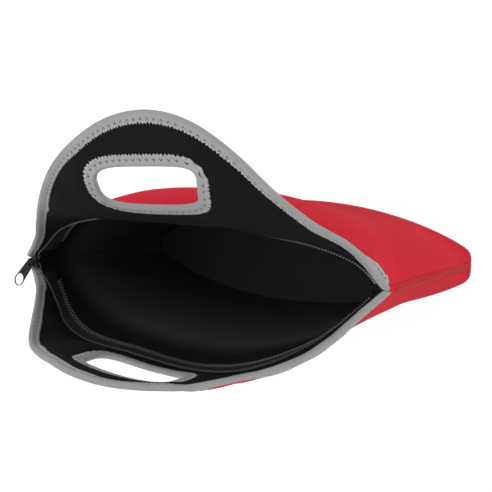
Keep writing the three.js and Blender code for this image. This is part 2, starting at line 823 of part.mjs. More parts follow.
const back = makeSide(1, backLipCurve, backFlap, backWall);
const front = makeSide(-1, frontLipCurve, frontFlap, frontWall);
mitreEnds(back, front);

place('base_panel', baseLayer(0, outerSkin), redKnit);
place('base_insulation', baseLayer(outerSkin + bondGap, outerSkin + bondGap + foamCore), foamRubber);
place('base_lining', baseLayer(laminate - liningSkin, laminate), blackKnit);

for (const [name, one] of [['front', front], ['back', back]]) {
  place(`${name}_panel`, panelLayer(one, 3, 2), redKnit);
  place(`${name}_insulation`, panelLayer(one, 1, -1), foamRubber);
  place(`${name}_lining`, panelLayer(one, -2, -3), blackKnit);
  place(`${name}_edge_binding`, edgeBinding(one), greyBinding);
  place(`${name}_hole_binding`, holeBinding(one), greyBinding);
  place(`${name}_zipper_tape`, zipperTape(one), blackTape);
  place(`${name}_coil`, zipperCoil(one), coilNylon);
  place(`${name}_top_stop`, topStop(one), blackMetal);
}

export default bag;
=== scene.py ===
# %% [markdown]
# A lunch tote of padded knit: a leaf-shaped base, two walls that run up into handle flaps with
# bound hand holes, and a coil zipper round the mouth. The imported CAD part is loaded first. It is
# the fixed frame that every piece here is fitted to, and the dressed tote has to stay about its
# size.

# %% Load the fixed frame
import json
import math

import bpy
import numpy as np
from mathutils import Matrix, Vector


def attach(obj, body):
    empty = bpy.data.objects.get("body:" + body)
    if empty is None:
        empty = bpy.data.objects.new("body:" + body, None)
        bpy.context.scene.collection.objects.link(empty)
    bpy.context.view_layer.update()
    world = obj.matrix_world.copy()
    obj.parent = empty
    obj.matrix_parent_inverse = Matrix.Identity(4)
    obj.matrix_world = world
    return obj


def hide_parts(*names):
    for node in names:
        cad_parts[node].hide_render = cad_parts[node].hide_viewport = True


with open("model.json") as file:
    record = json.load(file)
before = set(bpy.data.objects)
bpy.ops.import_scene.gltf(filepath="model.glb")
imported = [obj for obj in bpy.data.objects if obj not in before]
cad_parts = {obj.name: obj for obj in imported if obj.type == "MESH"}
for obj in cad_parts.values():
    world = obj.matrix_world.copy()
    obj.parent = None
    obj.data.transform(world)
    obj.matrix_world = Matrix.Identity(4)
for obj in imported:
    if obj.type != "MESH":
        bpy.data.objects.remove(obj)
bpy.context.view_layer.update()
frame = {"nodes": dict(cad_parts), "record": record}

# %% [markdown]
# The camera looks down into the mouth from above the right-hand end. Its place comes from
# matching the zipper line, the flap edges and the hand holes to their places in the picture:
# a target inside the tote, a direction towards the camera, a small roll and a distance.

# %% Camera
look_east, look_north, roll = 0.5234484, 0.1073980, 0.0075598
camera_distance = 0.601122
camera_target = Vector((0.013019, 0.018104, 0.120))
focal_pixels, frame_pixels, sensor_width = 786.42, 492, 36

toward = Vector((math.sin(look_east), math.sin(look_north), 0))
toward.z = math.sqrt(1 - toward.length_squared)
right = Vector((0, 1, 0)).cross(toward).normalized()
above = toward.cross(right)
across = math.cos(roll) * right + math.sin(roll) * above
upright = -math.sin(roll) * right + math.cos(roll) * above

camera = bpy.data.objects.new("camera", bpy.data.cameras.new("camera"))
bpy.context.scene.collection.objects.link(camera)
camera.data.sensor_width = sensor_width
camera.data.lens = focal_pixels / frame_pixels * sensor_width
camera.matrix_world = Matrix((
    (across.x, upright.x, toward.x, camera_target.x + camera_distance * toward.x),
    (across.y, upright.y, toward.y, camera_target.y + camera_distance * toward.y),
    (across.z, upright.z, toward.z, camera_target.z + camera_distance * toward.z),
    (0, 0, 0, 1),
))
bpy.context.scene.camera = camera
print("camera at", [round(value, 3) for value in camera.location], "lens", round(camera.data.lens, 1))

# %% [markdown]
# The cloth is drawn with the same sizes as the CAD part, in millimetres: the laminate, the leaf
# of the base, the zipper line on both sides, and how each flap leans. A surface given by a
# formula can be sampled as finely as the look needs, and every seam, stitch and zipper tooth
# can then be placed on it by two numbers: how far along it lies and how far up.
#
# `lip` holds points of the zipper line. `root` and `tip` say how far the flap leans out at its
# foot and at its peak, `drift` and `fan` which way, and `curl` how deep its crest and hollow are.
# `bulge`, `rise` and `neck` shape the wall. The last row of each side is for its two corners.

# %% Sizes of the tote
outer_skin, foam_core, lining_skin, bond_gap = 1.0, 2.4, 1.0, 0.3
half_laminate = (outer_skin + foam_core + lining_skin + 2 * bond_gap) / 2
base_half_length, base_half_depth, base_tip, mouth_setback = 151.8, 45.8, 9.5, 6.1
mouth_half_length = base_half_length - mouth_setback
flap_peak, left_corner, right_corner, low_corner_reach = 114.7, 12.6, 7.0, 0.4
hole_half_width, hole_half_height, band_above_hole = 36.8, 18.4, 36.4
hole_centre = flap_peak - band_above_hole - hole_half_height
left_end, right_end = (-1, 2.5, 177.6), (1.036, 5.2, 181.9)
back = dict(
    side=1,
    lip=[left_end, (-0.765, 32.7, 187.0), (-0.423, 42.1, 201.2), (-0.003, 42.7, 212.8),
         (0.479, 41.3, 217.4), (0.955, 26.8, 210.7), right_end],
    root=(0.16, 0.0755, 0.0406), tip=(1.176, 0.02, -0.64), reach=103.8,
    drift=(0.32, 0.24), fan=(0.42, -0.03), curl=(0.0, 0.0, 0.0), bulge=19.0, rise=2.46, neck=0.0,
    left_way=(-0.16, 0.42), right_blend=0.3, corner_round=2.2, wide_from=0.5, climb=(0.75, 0.0),
)
front = dict(
    side=-1,
    lip=[left_end, (-0.664, -49.6, 196.3), (-0.274, -65.2, 191.7), (0.078, -69.2, 194.3),
         (0.398, -59.8, 198.7), (0.718, -35.9, 194.4), right_end],
    root=(-0.423, 0.39, 0.53), tip=(-0.203, -0.02, 0.40), reach=45.0,
    drift=(0.10, -0.05), fan=(0.66, 0.32), curl=(1.7, -2.3, 0.08), bulge=-3.6, rise=1.0, neck=8.0,
    left_way=(0.2, 0.45), right_blend=0.42, corner_round=6.8, wide_from=-0.4, climb=(0.5, 2.6),
)
right_flare, left_blend = 0.05, 0.2
sides = (("back", back), ("front", front))
print("laminate", 2 * half_laminate, "mm, flaps", flap_peak, "mm above the zipper")

# %% [markdown]
# The zipper line is a smooth curve through a few points. The base edge is a leaf: a swell that
# falls to a blunt tip, whose corners are rounded off here as sewn cloth rounds them.

# %% Zipper line and base edge
leaf_power, leaf_fullness, tip_roundings = 2.1, 0.89, 26


def smooth(x):
    """0 below 0 and 1 above 1, with an even slope between."""
    x = np.clip(x, 0, 1)
    return x * x * (3 - 2 * x)


def unit(rows):
    return rows / np.maximum(np.linalg.norm(rows, axis=-1, keepdims=True), 1e-9)


def lengths_of(points):
    steps = np.linalg.norm(np.diff(points, axis=0), axis=1)
    return np.concatenate([[0], np.cumsum(steps)])


def along(points, shares):
    """Points at shares of a line's length."""
    lengths = lengths_of(points)
    at = shares * lengths[-1]
    return np.stack([np.interp(at, lengths, values) for values in points.T], -1)


def through(points):
    """A smooth line through points, closely sampled, tight where they are close together."""
    p = np.array(points, float)
    p = np.vstack([2 * p[0] - p[1], p, 2 * p[-1] - p[-2]])
    w = np.linspace(0, 1, 120, endpoint=False)[:, None]
    line = []
    for p0, p1, p2, p3 in zip(p, p[1:], p[2:], p[3:]):
        d0, d1, d2 = [np.linalg.norm(b - a) ** 0.5 for a, b in ((p0, p1), (p1, p2), (p2, p3))]
        leave = ((p1 - p0) / d0 - (p2 - p0) / (d0 + d1) + (p2 - p1) / d1) * d1
        arrive = ((p2 - p1) / d1 - (p3 - p1) / (d1 + d2) + (p3 - p2) / d2) * d1
        line.append(p1 + leave * w + (3 * (p2 - p1) - 2 * leave - arrive) * w**2
                    + (2 * (p1 - p2) + leave + arrive) * w**3)
    return np.vstack([*line, p[-2:-1]])


for one in (back, front):
    one["line"] = through([(share * mouth_half_length, y, z) for share, y, z in one["lip"]])
half_lip = (lengths_of(back["line"])[-1] + lengths_of(front["line"])[-1]) / 4


def leaf_edge(side):
    """The long edge of the base on one side, tip to tip, its corners rounded."""
    u = np.linspace(-1, 1, 241)
    swell = np.maximum(1 - np.abs(u) ** leaf_power, 0) ** leaf_fullness
    half = base_tip + (base_half_depth - base_tip) * swell
    edge = np.column_stack([base_half_length * u, side * half])
    edge = np.vstack([[-base_half_length, 0], edge, [base_half_length, 0]])
    edge = along(edge, np.linspace(0, 1, 401))
    for _ in range(tip_roundings):
        mirrored = np.vstack([edge[1] * (1, -1), edge, edge[-2] * (1, -1)])
        edge = (mirrored[:-2] + 2 * edge + mirrored[2:]) / 4
    return edge


print("each side of the zipper is", round(2 * half_lip, 1), "mm long")

# %% [markdown]
# Each side of the tote is one sheet: a wall from the base edge to the zipper line and a flap
# above it. The wall is ruled between the two edges and swells a little. The flap is climbed in
# small steps that turn from the lean at its root to the lean at its tip, so it curls like
# padded cloth and keeps its true length.

# %% The sheet of one side
arch_power, arch_sharpness = 2.03, 2.3
flap_steps = 12
crest_at, hollow_at, curl_reach, stretch_width = 0.36, 0.7, 0.15, 70


def flap_height(v):
    """Height of the flap's cut edge over the zipper line, v from -1 at the left to 1."""
    arch = np.maximum(1 - np.abs(v) ** arch_power, 0) ** arch_sharpness
    to_right = smooth((v - 1 + low_corner_reach) / low_corner_reach)
    corner = left_corner + (right_corner - left_corner) * to_right
    return corner + (flap_peak - corner) * arch


def edge_slope(v):
    """Length of the cut edge for each millimetre along the zipper line."""
    ahead, behind = np.minimum(v + 0.01, 1), np.maximum(v - 0.01, -1)
    return np.hypot(1, (flap_height(ahead) - flap_height(behind)) / ((ahead - behind) * half_lip))


def wall_points(one, v, w):
    """Points of the wall, w from 0 at the foot to 1 at the zipper line."""
    foot = along(leaf_edge(one["side"]), (v + 1) / 2)
    top = along(one["line"], (v + 1) / 2)
    foot = np.column_stack([foot, np.zeros(len(foot))])
    points = foot + (top - foot) * w[..., None]
    swell = one["bulge"] * np.sin(np.pi * w ** one["rise"]) + one["neck"] * (w**16 - w)
    points[..., 1] += one["side"] * swell * (1 - v * v)
    return points


def flap_points(one, v, height):
    """Points of the flap at their lengths of cloth over the zipper line."""
    line, at = one["line"], (v + 1) / 2
    heading = along(line, at + 0.001) - along(line, at - 0.001)
    heading[:, 2] = 0
    heading = unit(heading)
    outward = one["side"] * np.column_stack([-heading[:, 1], heading[:, 0], 0 * v])
    fan = (one["fan"][0] + one["fan"][1] * v)[:, None]
    away = unit(outward * fan + np.array([0, one["side"], 0]) * (1 - fan))
    root, tip = [terms[0] + terms[1] * v + terms[2] * v * v for terms in (one["root"], one["tip"])]
    drift = one["drift"][0] + one["drift"][1] * v
    at_right = smooth((v - 1 + one["right_blend"]) / one["right_blend"])[:, None]
    at_left = smooth((-v - 1 + left_blend) / left_blend)[:, None]
    to_right = np.array([math.sin(right_flare), 0, math.cos(right_flare)])
    sideways, splay = one["left_way"]
    to_left = unit(np.array([sideways, one["side"] * math.sin(splay), math.cos(splay)]))
    points = along(line, at) + 0 * height[..., None]
    for step in range(flap_steps):
        lean = root + (tip - root) * smooth(height * (step + 0.5) / flap_steps / one["reach"])
        way = away * np.sin(lean)[..., None]
        way[..., 2] += np.cos(lean)
        way[..., 0] += drift
        way = unit(way)
        way = way + (to_right - way) * at_right
        way = unit(way + (to_left - way) * at_left)
        points = points + way * (height / flap_steps)[..., None]
    share, x = height / flap_height(v), v * half_lip
    crest, hollow, stretch = one["curl"]
    curl = (crest * np.exp(-(((share - crest_at) / curl_reach) ** 2))
            + hollow * np.exp(-(((share - hollow_at) / curl_reach) ** 2)))
    points[..., 0] += stretch * x * np.exp(-((x / stretch_width) ** 2) - ((share - 0.5) / 0.3) ** 2)
    points[..., 1] += curl * (1 - v * v) ** 4
    return points


rim_setback = 0.6
bend_reach, bend_passes = 13, 60
columns, wall_rows, flap_rows, usual_wall = 208, 76, 56, 195


def eased(share):
    """Places from -1 to 1 that lie closer together toward both ends."""
    return 0.7 * share + 0.3 * np.sin(np.pi / 2 * share)


v = eased(np.linspace(-1, 1, columns + 1))
foot_rows = np.array([0, 0.4, 0.9, 1.5, 2.2, 3.0, 4.0, 5.2]) / usual_wall
wall_shares = np.concatenate([foot_rows[:-1], np.linspace(foot_rows[-1], 1, wall_rows - 6)])
flap_shares = 1 - (1 - np.linspace(0, 1, flap_rows + 1)[1:]) ** 1.25
up_flap = flap_shares[:, None] * (flap_height(v) - rim_setback * edge_slope(v))
lip_row = len(wall_shares) - 1
print("grid of", columns + 1, "by", lip_row + 1 + flap_rows, "points on each side")


def make_sheet(one):
    wall = wall_points(one, v, wall_shares[:, None])
    grid = np.vstack([wall, flap_points(one, v, up_flap)])
    wall_height = np.linalg.norm(np.diff(wall, axis=0), axis=2).sum(0)
    t = np.vstack([(wall_shares[:, None] - 1) * wall_height, up_flap])
    hold = np.exp(-((t / bend_reach) ** 2))[1:-1, :, None]
    for _ in range(bend_passes):
        below = np.linalg.norm(grid[1:-1] - grid[:-2], axis=2)[..., None]
        beyond = np.linalg.norm(grid[2:] - grid[1:-1], axis=2)[..., None]
        straight = (grid[:-2] * beyond + grid[2:] * below) / (below + beyond)
        grid[1:-1] += 0.5 * hold * (straight - grid[1:-1])
    one.update(grid=grid, t=t, wall_height=wall_height)


for one in (back, front):
    make_sheet(one)

# %% [markdown]
# Padded knit is stiff but not rigid: held at its seams and its bound edges it hangs in shallow
# swells. A short cloth simulation on a coarse copy of each sheet gives them: the base edge, the
# zipper line, the end seams and the flap's edge are pinned, the cloth is a little too large, and
# gravity does the rest. Only the small difference is carried over to the fine sheet. It is
# capped, smoothed, and faded out toward the foot.

# %% Let the sheets settle as cloth
settle_cap, foot_fade, settle_smoothings = 1.5, 25, 12
coarse_rows, coarse_columns, cloth_frames = 40, 64, 20


def as_object(name, points, faces):
    mesh = bpy.data.meshes.new(name)
    mesh.from_pydata(np.asarray(points, float).tolist(), [], faces)
    piece = bpy.data.objects.new(name, mesh)
    bpy.context.scene.collection.objects.link(piece)
    return piece


def grid_cells(shape):
    """The four corners of every cell of a grid."""
    ids = np.arange(shape[0] * shape[1]).reshape(shape[:2])
    return ids, np.stack([ids[:-1, :-1], ids[:-1, 1:], ids[1:, 1:], ids[1:, :-1]], -1)


def settle(one):
    """Carry a capped part of a cloth simulation over to one side."""
    rows = np.linspace(0, len(one["grid"]) - 1, coarse_rows).round().astype(int)
    rows = np.unique([*rows, lip_row])
    places = np.linspace(0, columns, coarse_columns).round().astype(int)
    start = one["grid"][np.ix_(rows, places)]
    ids, cells = grid_cells(start.shape)
    cloth = as_object("settling", start.reshape(-1, 3) / 1000, cells.reshape(-1, 4).tolist())
    held = cloth.vertex_groups.new(name="held")
    pinned = np.concatenate([ids[0], ids[-1], ids[:, 0], ids[:, -1], *ids[rows == lip_row]])
    held.add(sorted(set(pinned.tolist())), 1.0, "REPLACE")
    fall = cloth.modifiers.new("fall", "CLOTH")
    fall.settings.quality = 8
    fall.settings.mass = 0.4
    fall.settings.tension_stiffness = fall.settings.compression_stiffness = 60
    fall.settings.bending_stiffness = 12
    fall.settings.shrink_min = -0.008
    fall.settings.vertex_group_mass = "held"
    fall.collision_settings.use_self_collision = False
    for step in range(1, cloth_frames + 1):
        bpy.context.scene.frame_set(step)
    shown = cloth.evaluated_get(bpy.context.evaluated_depsgraph_get()).to_mesh()
    end = np.empty(len(shown.vertices) * 3)
    shown.vertices.foreach_get("co", end)
    moved = end.reshape(start.shape) * 1000 - start
    bpy.data.objects.remove(cloth)
    bpy.context.scene.frame_set(1)
    size = np.linalg.norm(moved, axis=-1, keepdims=True)
    moved *= np.minimum(1, settle_cap / np.maximum(size, 1e-6))
    every_row, every_column = np.arange(len(one["grid"])), np.arange(columns + 1)
    for every, known in ((every_column, places), (every_row, rows)):
        moved = np.stack([[np.interp(every, known, line[:, i]) for line in moved]
                          for i in range(3)], -1).transpose(1, 0, 2)
    for _ in range(settle_smoothings):
        beside = moved[1:-1, :-2] + moved[1:-1, 2:]
        moved[1:-1, 1:-1] = (beside + moved[:-2, 1:-1] + moved[2:, 1:-1]) / 4
    moved *= smooth((one["t"] - one["t"][0]) / foot_fade)[..., None]
    one["grid"] += moved
    print("settled side", one["side"], "by up to", round(float(size.max()), 2), "mm, kept",
          round(float(np.linalg.norm(moved, axis=-1).max()), 2), "mm")


for one in (back, front):
    settle(one)

# %% [markdown]
# A sheet has no thickness yet. Each layer of the laminate is the sheet moved outward or inward
# along its normals. Where the two sides meet in an end seam their normals are turned to a
# common one, so the layers meet in a mitre. Stitching and binding squeeze the foam: the depth
# of every layer shrinks near a bound edge and swells again behind it, which is what makes such
# cloth look padded.

# %% Normals, mitres and squeezed edges
end_columns, mitre_reach, longest_mitre = 16, 4.5, 1.25
pressed, edge_width, hole_width = 0.46, 7.0, 8.0
swell_start, swell_reach, edge_round = 1.2, 11, 1.4


def squeeze(p, width):
    """Share of the laminate's thickness left at a distance from an edge bound to some width."""
    swollen = smooth((p - width + swell_start) / swell_reach)
    rounded = np.sqrt(np.clip(1 - (np.clip(edge_round - p, 0, None) / edge_round) ** 2, 0.3, 1))
    return (pressed + (1 - pressed) * swollen) * rounded


hole_points, hole_zone = 480, (60, 40)
angle = (np.arange(hole_points) + 0.5) / hole_points * 2 * np.pi


def hole_reach(turn):
    """Distance of the hole's edge from its middle, in shares of its half sizes.

    The hole is a rounded oblong whose upper right corner is squarer than the others.
    """
    c, s = np.cos(turn), np.sin(turn)
    squareness = 3.5 + 5.0 * np.clip(c, 0, 1) * np.clip(s, 0, 1)
    return (np.abs(c) ** squareness + np.abs(s) ** squareness) ** (-1 / squareness)


hole_edge = np.column_stack([hole_half_width * np.cos(angle), hole_half_height * np.sin(angle)])
hole_edge = hole_edge * hole_reach(angle)[:, None] + (0, hole_centre)


def from_hole(x, t):
    """Distance outside the hand hole's open edge, negative inside it."""
    away = np.full(x.shape, 99.0)
    near = (np.abs(x) < hole_zone[0]) & (t > hole_centre - hole_zone[1]) & (t < hole_centre + hole_zone[1])
    gaps = np.linalg.norm(np.stack([x[near], t[near]], -1)[:, None] - hole_edge, axis=-1).min(1)
    across, up = x[near] / hole_half_width, (t[near] - hole_centre) / hole_half_height
    inside = np.hypot(across, up) < hole_reach(np.arctan2(up, across))
    away[near] = np.where(inside, -gaps, gaps)
    return away


for one in (back, front):
    grid = one["grid"]
    normals = unit(np.cross(np.gradient(grid, axis=0), np.gradient(grid, axis=1))) * one["side"]
    normals[0, :, 2] = 0
    one["normals"] = unit(normals)
    one["x"] = np.repeat((v * half_lip)[None], len(grid), 0)
    from_rim = (flap_height(v) - one["t"]) / edge_slope(v)
    one["from_hole"] = from_hole(one["x"], one["t"])
    one["left"] = squeeze(from_rim, edge_width) * squeeze(one["from_hole"], hole_width)

for end, joined in ((0, lip_row + 1), (columns, len(back["grid"]))):
    shared = unit(back["normals"][:joined, end] + front["normals"][:joined, end])
    for one, other in ((back, front), (front, back)):
        apart = unit(one["normals"][:joined, end] - other["normals"][:joined, end])
        one["meeting", end] = (joined, apart, one["grid"][:joined, end].copy())
    for one in (back, front):
        lengthen = np.sum(shared * one["normals"][:joined, end], -1)
        lengthen = np.clip(1 / lengthen, 1, longest_mitre)
        for k in range(end_columns):
            column = abs(end - k)
            gap = np.linalg.norm(one["grid"][:joined, column] - one["grid"][:joined, end], axis=-1)
            turn = smooth(1 - gap / mitre_reach)[:, None]
            normal = one["normals"][:joined, column]
            one["normals"][:joined, column] = (unit(normal + (shared - normal) * turn)
                                               * (1 + (lengthen[:, None] - 1) * turn))


def at_depth(one, depth, seam_gap=0.05):
    """The sheet moved out by a depth, kept on its own side of the end seams."""
    points = one["grid"] + one["normals"] * (depth * one["left"])[..., None]
    for end in (0, columns):
        joined, apart, seam = one["meeting", end]
        for k in range(end_columns):
            column = abs(end - k)
            beyond = np.sum((points[:joined, column] - seam) * apart, -1)
            points[:joined, column] += apart * np.clip(seam_gap - beyond, 0, None)[:, None]
    return points


for one in (back, front):
    for face, gap in ((1, 0.05), (-1, 0.01)):
        flat = one["grid"] + one["normals"] * (face * half_laminate * one["left"])[..., None]
        one["mitre", face] = at_depth(one, face * half_laminate + 0 * one["t"], gap) - flat

thinnest = 2 * half_laminate * float(back["left"].min())
print("thinnest laminate", round(thinnest, 2), "mm under the binding's fold")

# %% [markdown]
# The layers are closed bodies. A helper joins the outer and the inner copy of a sheet wherever
# cells of its grid are kept, and walls up every open edge, the hand hole's too. The binding
# will hide that cut, as it does on the real tote. Each cloth piece gets a map in millimetres,
# so that its knit follows the cloth.

# %% Skin, foam and lining of both sides
def make_piece(name, points, faces, places=None, caps=()):
    """A mesh from points in millimetres, faced outwards, with a map in millimetres."""
    used, quads = np.unique(np.asarray(faces), return_inverse=True)
    quads = quads.reshape(np.shape(faces))
    points = np.asarray(points)[used]
    order = {old: new for new, old in enumerate(used.tolist())} if len(caps) else {}
    caps = [[order[k] for k in cap] for cap in caps]
    piece = as_object(name, points / 1000, quads.tolist() + caps)
    mesh = piece.data
    if places is not None:
        corners = np.zeros((len(mesh.loops), 2))
        given = places if places.ndim == 3 else places[used][quads]
        corners[: quads.size] = given.reshape(-1, 2)
        mesh.uv_layers.new(name="cloth").data.foreach_set("uv", corners.ravel())
    mesh.calc_loop_triangles()
    thirds = np.empty(len(mesh.loop_triangles) * 3, np.int32)
    mesh.loop_triangles.foreach_get("vertices", thirds)
    a, b, c = points[thirds.reshape(-1, 3)].transpose(1, 0, 2)
    volume = np.einsum("ij,ij->", a, np.cross(b, c)) / 6000
    if volume < 0:
        mesh.flip_normals()
    mesh.shade_smooth()
    print(name, len(mesh.loop_triangles), "triangles,", round(abs(float(volume)), 2), "ml")
    return piece


def shell(name, outer, inner, keep, places):
    """A closed body between two grids of points over the kept cells."""
    ids, cells = grid_cells(outer.shape)
    count, cells = ids.size, cells[keep]
    edges = np.concatenate([cells[:, [k, (k + 1) % 4]] for k in range(4)])
    forward, backward = edges[:, 0] * count + edges[:, 1], edges[:, 1] * count + edges[:, 0]
    rim = edges[~np.isin(forward, backward)]
    walls = np.stack([rim[:, 1], rim[:, 0], rim[:, 0] + count, rim[:, 1] + count], -1)
    points = np.concatenate([outer.reshape(-1, 3), inner.reshape(-1, 3)])
    places = np.concatenate([places.reshape(-1, 2)] * 2)
    return make_piece(name, points, np.concatenate([cells, cells[:, ::-1] + count, walls]), places)


def kept_cells(one, step):
    away = one["from_hole"][::step, ::step]
    upper, lower = [np.minimum(row[:, :-1], row[:, 1:]) for row in (away[:-1], away[1:])]
    return np.minimum(upper, lower) > rim_setback


foot_round, foot_tuck, groove_depth, groove_reach = 4.5, 1.2, 0.15, 1.8
groove = groove_depth * (1 - smooth((half_lip - np.abs(v * half_lip)) / groove_reach))[None]
pieces = {}
for label, one in sides:
    height = one["grid"][..., 2]
    low = np.clip(foot_round - height, 0, None) / foot_round
    tucked = 1 - np.sqrt(np.clip(1 - 0.85 * low**2, 0, 1))
    ones = np.ones_like(height)
    joined_here = ones.copy()
    joined_here[lip_row + 1:, : columns // 2] = 0
    outside = half_laminate - foot_tuck * tucked - groove * joined_here
    places = np.stack([one["x"], one["t"]], -1)
    skin = shell(f"{label}_skin", at_depth(one, outside),
                 at_depth(one, outside - outer_skin + 0.1), kept_cells(one, 1), places)
    cloth = shell(f"{label}_inner_cloth", at_depth(one, -(half_laminate - lining_skin) * ones, 0.01),
                  at_depth(one, -half_laminate * ones, 0.01), kept_cells(one, 1), places)
    foam_out = np.minimum(outside - outer_skin - bond_gap + 0.1, foam_core / 2)
    foam = shell(f"{label}_foam", at_depth(one, foam_out)[::2, ::2],
                 at_depth(one, -foam_core / 2 * ones)[::2, ::2], kept_cells(one, 2), places[::2, ::2])
    pieces.update({(label, "skin"): skin, (label, "cloth"): cloth, (label, "foam"): foam})
    for piece, node in ((skin, "panel"), (cloth, "lining"), (foam, "insulation")):
        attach(piece, "bag")
        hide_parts(f"{label}_{node}")

# %% [markdown]
# The base closes the foot of the walls: the same three layers, cut to the leaf and kept a
# little inside the walls' feet. It lies on the ground at its rim and rises slightly in the
# middle, as a padded base does when nothing weighs on it.

# %% Base
inset = half_laminate + 0.05


def inset_edge(side):
    edge = leaf_edge(side)
    heading = unit(np.gradient(edge, axis=0))
    inward = np.column_stack([heading[:, 1], -heading[:, 0]]) * side
    edge = edge + inward * inset
    edge[:, 0] = np.clip(edge[:, 0], inset - base_half_length, base_half_length - inset)
    edge[:, 1] = np.where(side * edge[:, 1] < 0, 0, edge[:, 1])
    return along(edge, (v + 1) / 2)


far_edge, near_edge = inset_edge(1), inset_edge(-1)
share = np.sin(np.linspace(-1, 1, 49) * np.pi / 2)[:, None, None] / 2 + 0.5
leaf = near_edge[None] + (far_edge - near_edge)[None] * share
crown = 2.2 * (1 - (2 * share[..., 0] - 1) ** 2) * (1 - v[None] ** 2)
rim_round = 0.55 * np.abs(2 * share[..., 0] - 1) ** 12
foam_bottom, thickness = outer_skin + bond_gap, 2 * half_laminate
for name, low, high, node, label in (
    ("base_skin", 0.0, outer_skin, "base_panel", "skin"),
    ("base_foam", foam_bottom, foam_bottom + foam_core, "base_insulation", "foam"),
    ("base_inner_cloth", thickness - lining_skin, thickness - rim_round, "base_lining", "cloth"),
):
    top, bottom = [np.dstack([leaf, height + crown]) for height in (high, low)]
    piece = shell(name, top, bottom, np.ones((48, columns), bool), leaf)
    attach(piece, "bag")
    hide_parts(node)
    pieces["base", label] = piece

# %% [markdown]
# Bindings, tapes, zipper teeth and threads all lie on the sheets. One function finds the point
# and the outward normal of a sheet for any distance along the zipper and up from it, and a
# depth puts the piece on the face or the lining. Past the cut edge the sheet is carried on
# straight, because the binding's fold stands beyond it.

# %% A place on the sheet
def sheet_at(one, x, t):
    """Point, normal and squeeze of a sheet, x along the zipper from its middle, t up from it."""
    x, t = np.broadcast_arrays(np.asarray(x, float), np.asarray(t, float))
    v_here = np.clip(x / half_lip, -1, 1)
    column = np.clip(np.interp(v_here, v, np.arange(columns + 1)), 0, columns - 1e-6)
    wall = np.interp(v_here, v, one["wall_height"])
    top = flap_height(v_here) - rim_setback * edge_slope(v_here)
    wall_row = np.interp(1 + t / wall, wall_shares, np.arange(lip_row + 1))
    flap_row = lip_row + np.interp(t / top, [0, *flap_shares], np.arange(flap_rows + 1))
    last = len(one["grid"]) - 1
    row = np.clip(np.where(t < 0, wall_row, flap_row), 0, last - 1e-6)
    i, j = column.astype(int), row.astype(int)
    a, b = (column - i)[..., None], (row - j)[..., None]

    def mix(table):
        low = table[j, i] * (1 - a) + table[j, i + 1] * a
        return low * (1 - b) + (table[j + 1, i] * (1 - a) + table[j + 1, i + 1] * a) * b

    rises = unit(one["grid"][last] - one["grid"][last - 2])
    rise = rises[i] * (1 - a) + rises[i + 1] * a
    beyond = np.clip(t - top, 0, None)[..., None]
    left = mix(one["left"][..., None])[..., 0]
    mitres = mix(one["mitre", 1]), mix(one["mitre", -1])
    return mix(one["grid"]) + rise * beyond, mix(one["normals"]), left, mitres


def laid(place, depth):
    """A place on the sheet moved out by a depth, along with its face's mitre."""
    point, normal, left, (outer, inner) = place
    depth = np.broadcast_to(np.asarray(depth, float), left.shape)[..., None]
    share = np.clip(np.abs(depth) / (half_laminate * left[..., None]), 0, 1)
    return point + normal * depth + np.where(depth > 0, outer, inner) * share


def on_face(one, x, t, depth):
    """A point that keeps its distance from the face where the foam is pressed."""
    place = sheet_at(one, x, t)
    return laid(place, depth - np.sign(depth) * half_laminate * (1 - place[2]))


def on_sheet(one, x, t, depth):
    """A point a true depth from the laminate's middle, also where the foam is pressed."""
    return laid(sheet_at(one, x, t), depth)


print("back flap's tip at", on_face(back, 0, flap_peak, 0).round(1), "mm")

# %% [markdown]
# The binding is a strip of stretch fabric folded over the raw edge and sewn through. To give it
# the same width everywhere, the edge is followed in space: at each point of it, one step into
# the sheet, square to the edge, is written in the sheet's own two directions. On the outer face
# the edge binding gets wider toward the right corner, where it was folded less tightly.

# %% Paths that bindings follow
edge_needle, edge_cloth, edge_spacing = 2.3, 0.5, 0.32
hole_needle, hole_cloth, hole_spacing = 3.4, 0.6, 0.26


def ribbon(one, x, t, inside, spacing, closed):
    """Evenly spaced places along an edge, with the step of one millimetre into the sheet."""
    point, normal = sheet_at(one, x, t)[:2]
    x_low, x_high = [np.clip(x + aside, -half_lip, half_lip) for aside in (-0.5, 0.5)]
    by_x = sheet_at(one, x_high, t - 2)[0] - sheet_at(one, x_low, t - 2)[0]
    by_x /= (x_high - x_low)[:, None]
    by_t = sheet_at(one, x, t - 1)[0] - sheet_at(one, x, t - 2)[0]
    heading = np.roll(point, -1, 0) - np.roll(point, 1, 0) if closed else np.gradient(point, axis=0)
    step = unit(np.cross(unit(normal), unit(heading)))
    toward_inside = by_x * (inside[0] - x)[:, None] + by_t * (inside[1] - t)[:, None]
    step *= np.sign(np.sum(step * toward_inside, -1))[:, None]
    xx, xt, tt = [np.sum(p * q, -1) for p, q in ((by_x, by_x), (by_x, by_t), (by_t, by_t))]
    sx, st = np.sum(step * by_x, -1), np.sum(step * by_t, -1)
    area = xx * tt - xt**2
    rows = np.column_stack([x, t, (sx * tt - st * xt) / area, (st * xx - sx * xt) / area])
    if closed:
        rows, point = np.vstack([rows, rows[:1]]), np.vstack([point, point[:1]])
    lengths = lengths_of(point)
    count = int(round(lengths[-1] / spacing))
    s = np.arange(count + (not closed)) * lengths[-1] / count
    return dict(s=s, length=lengths[-1], closed=closed,
                rows=np.stack([np.interp(s, lengths, rows[:, k]) for k in range(4)], -1))


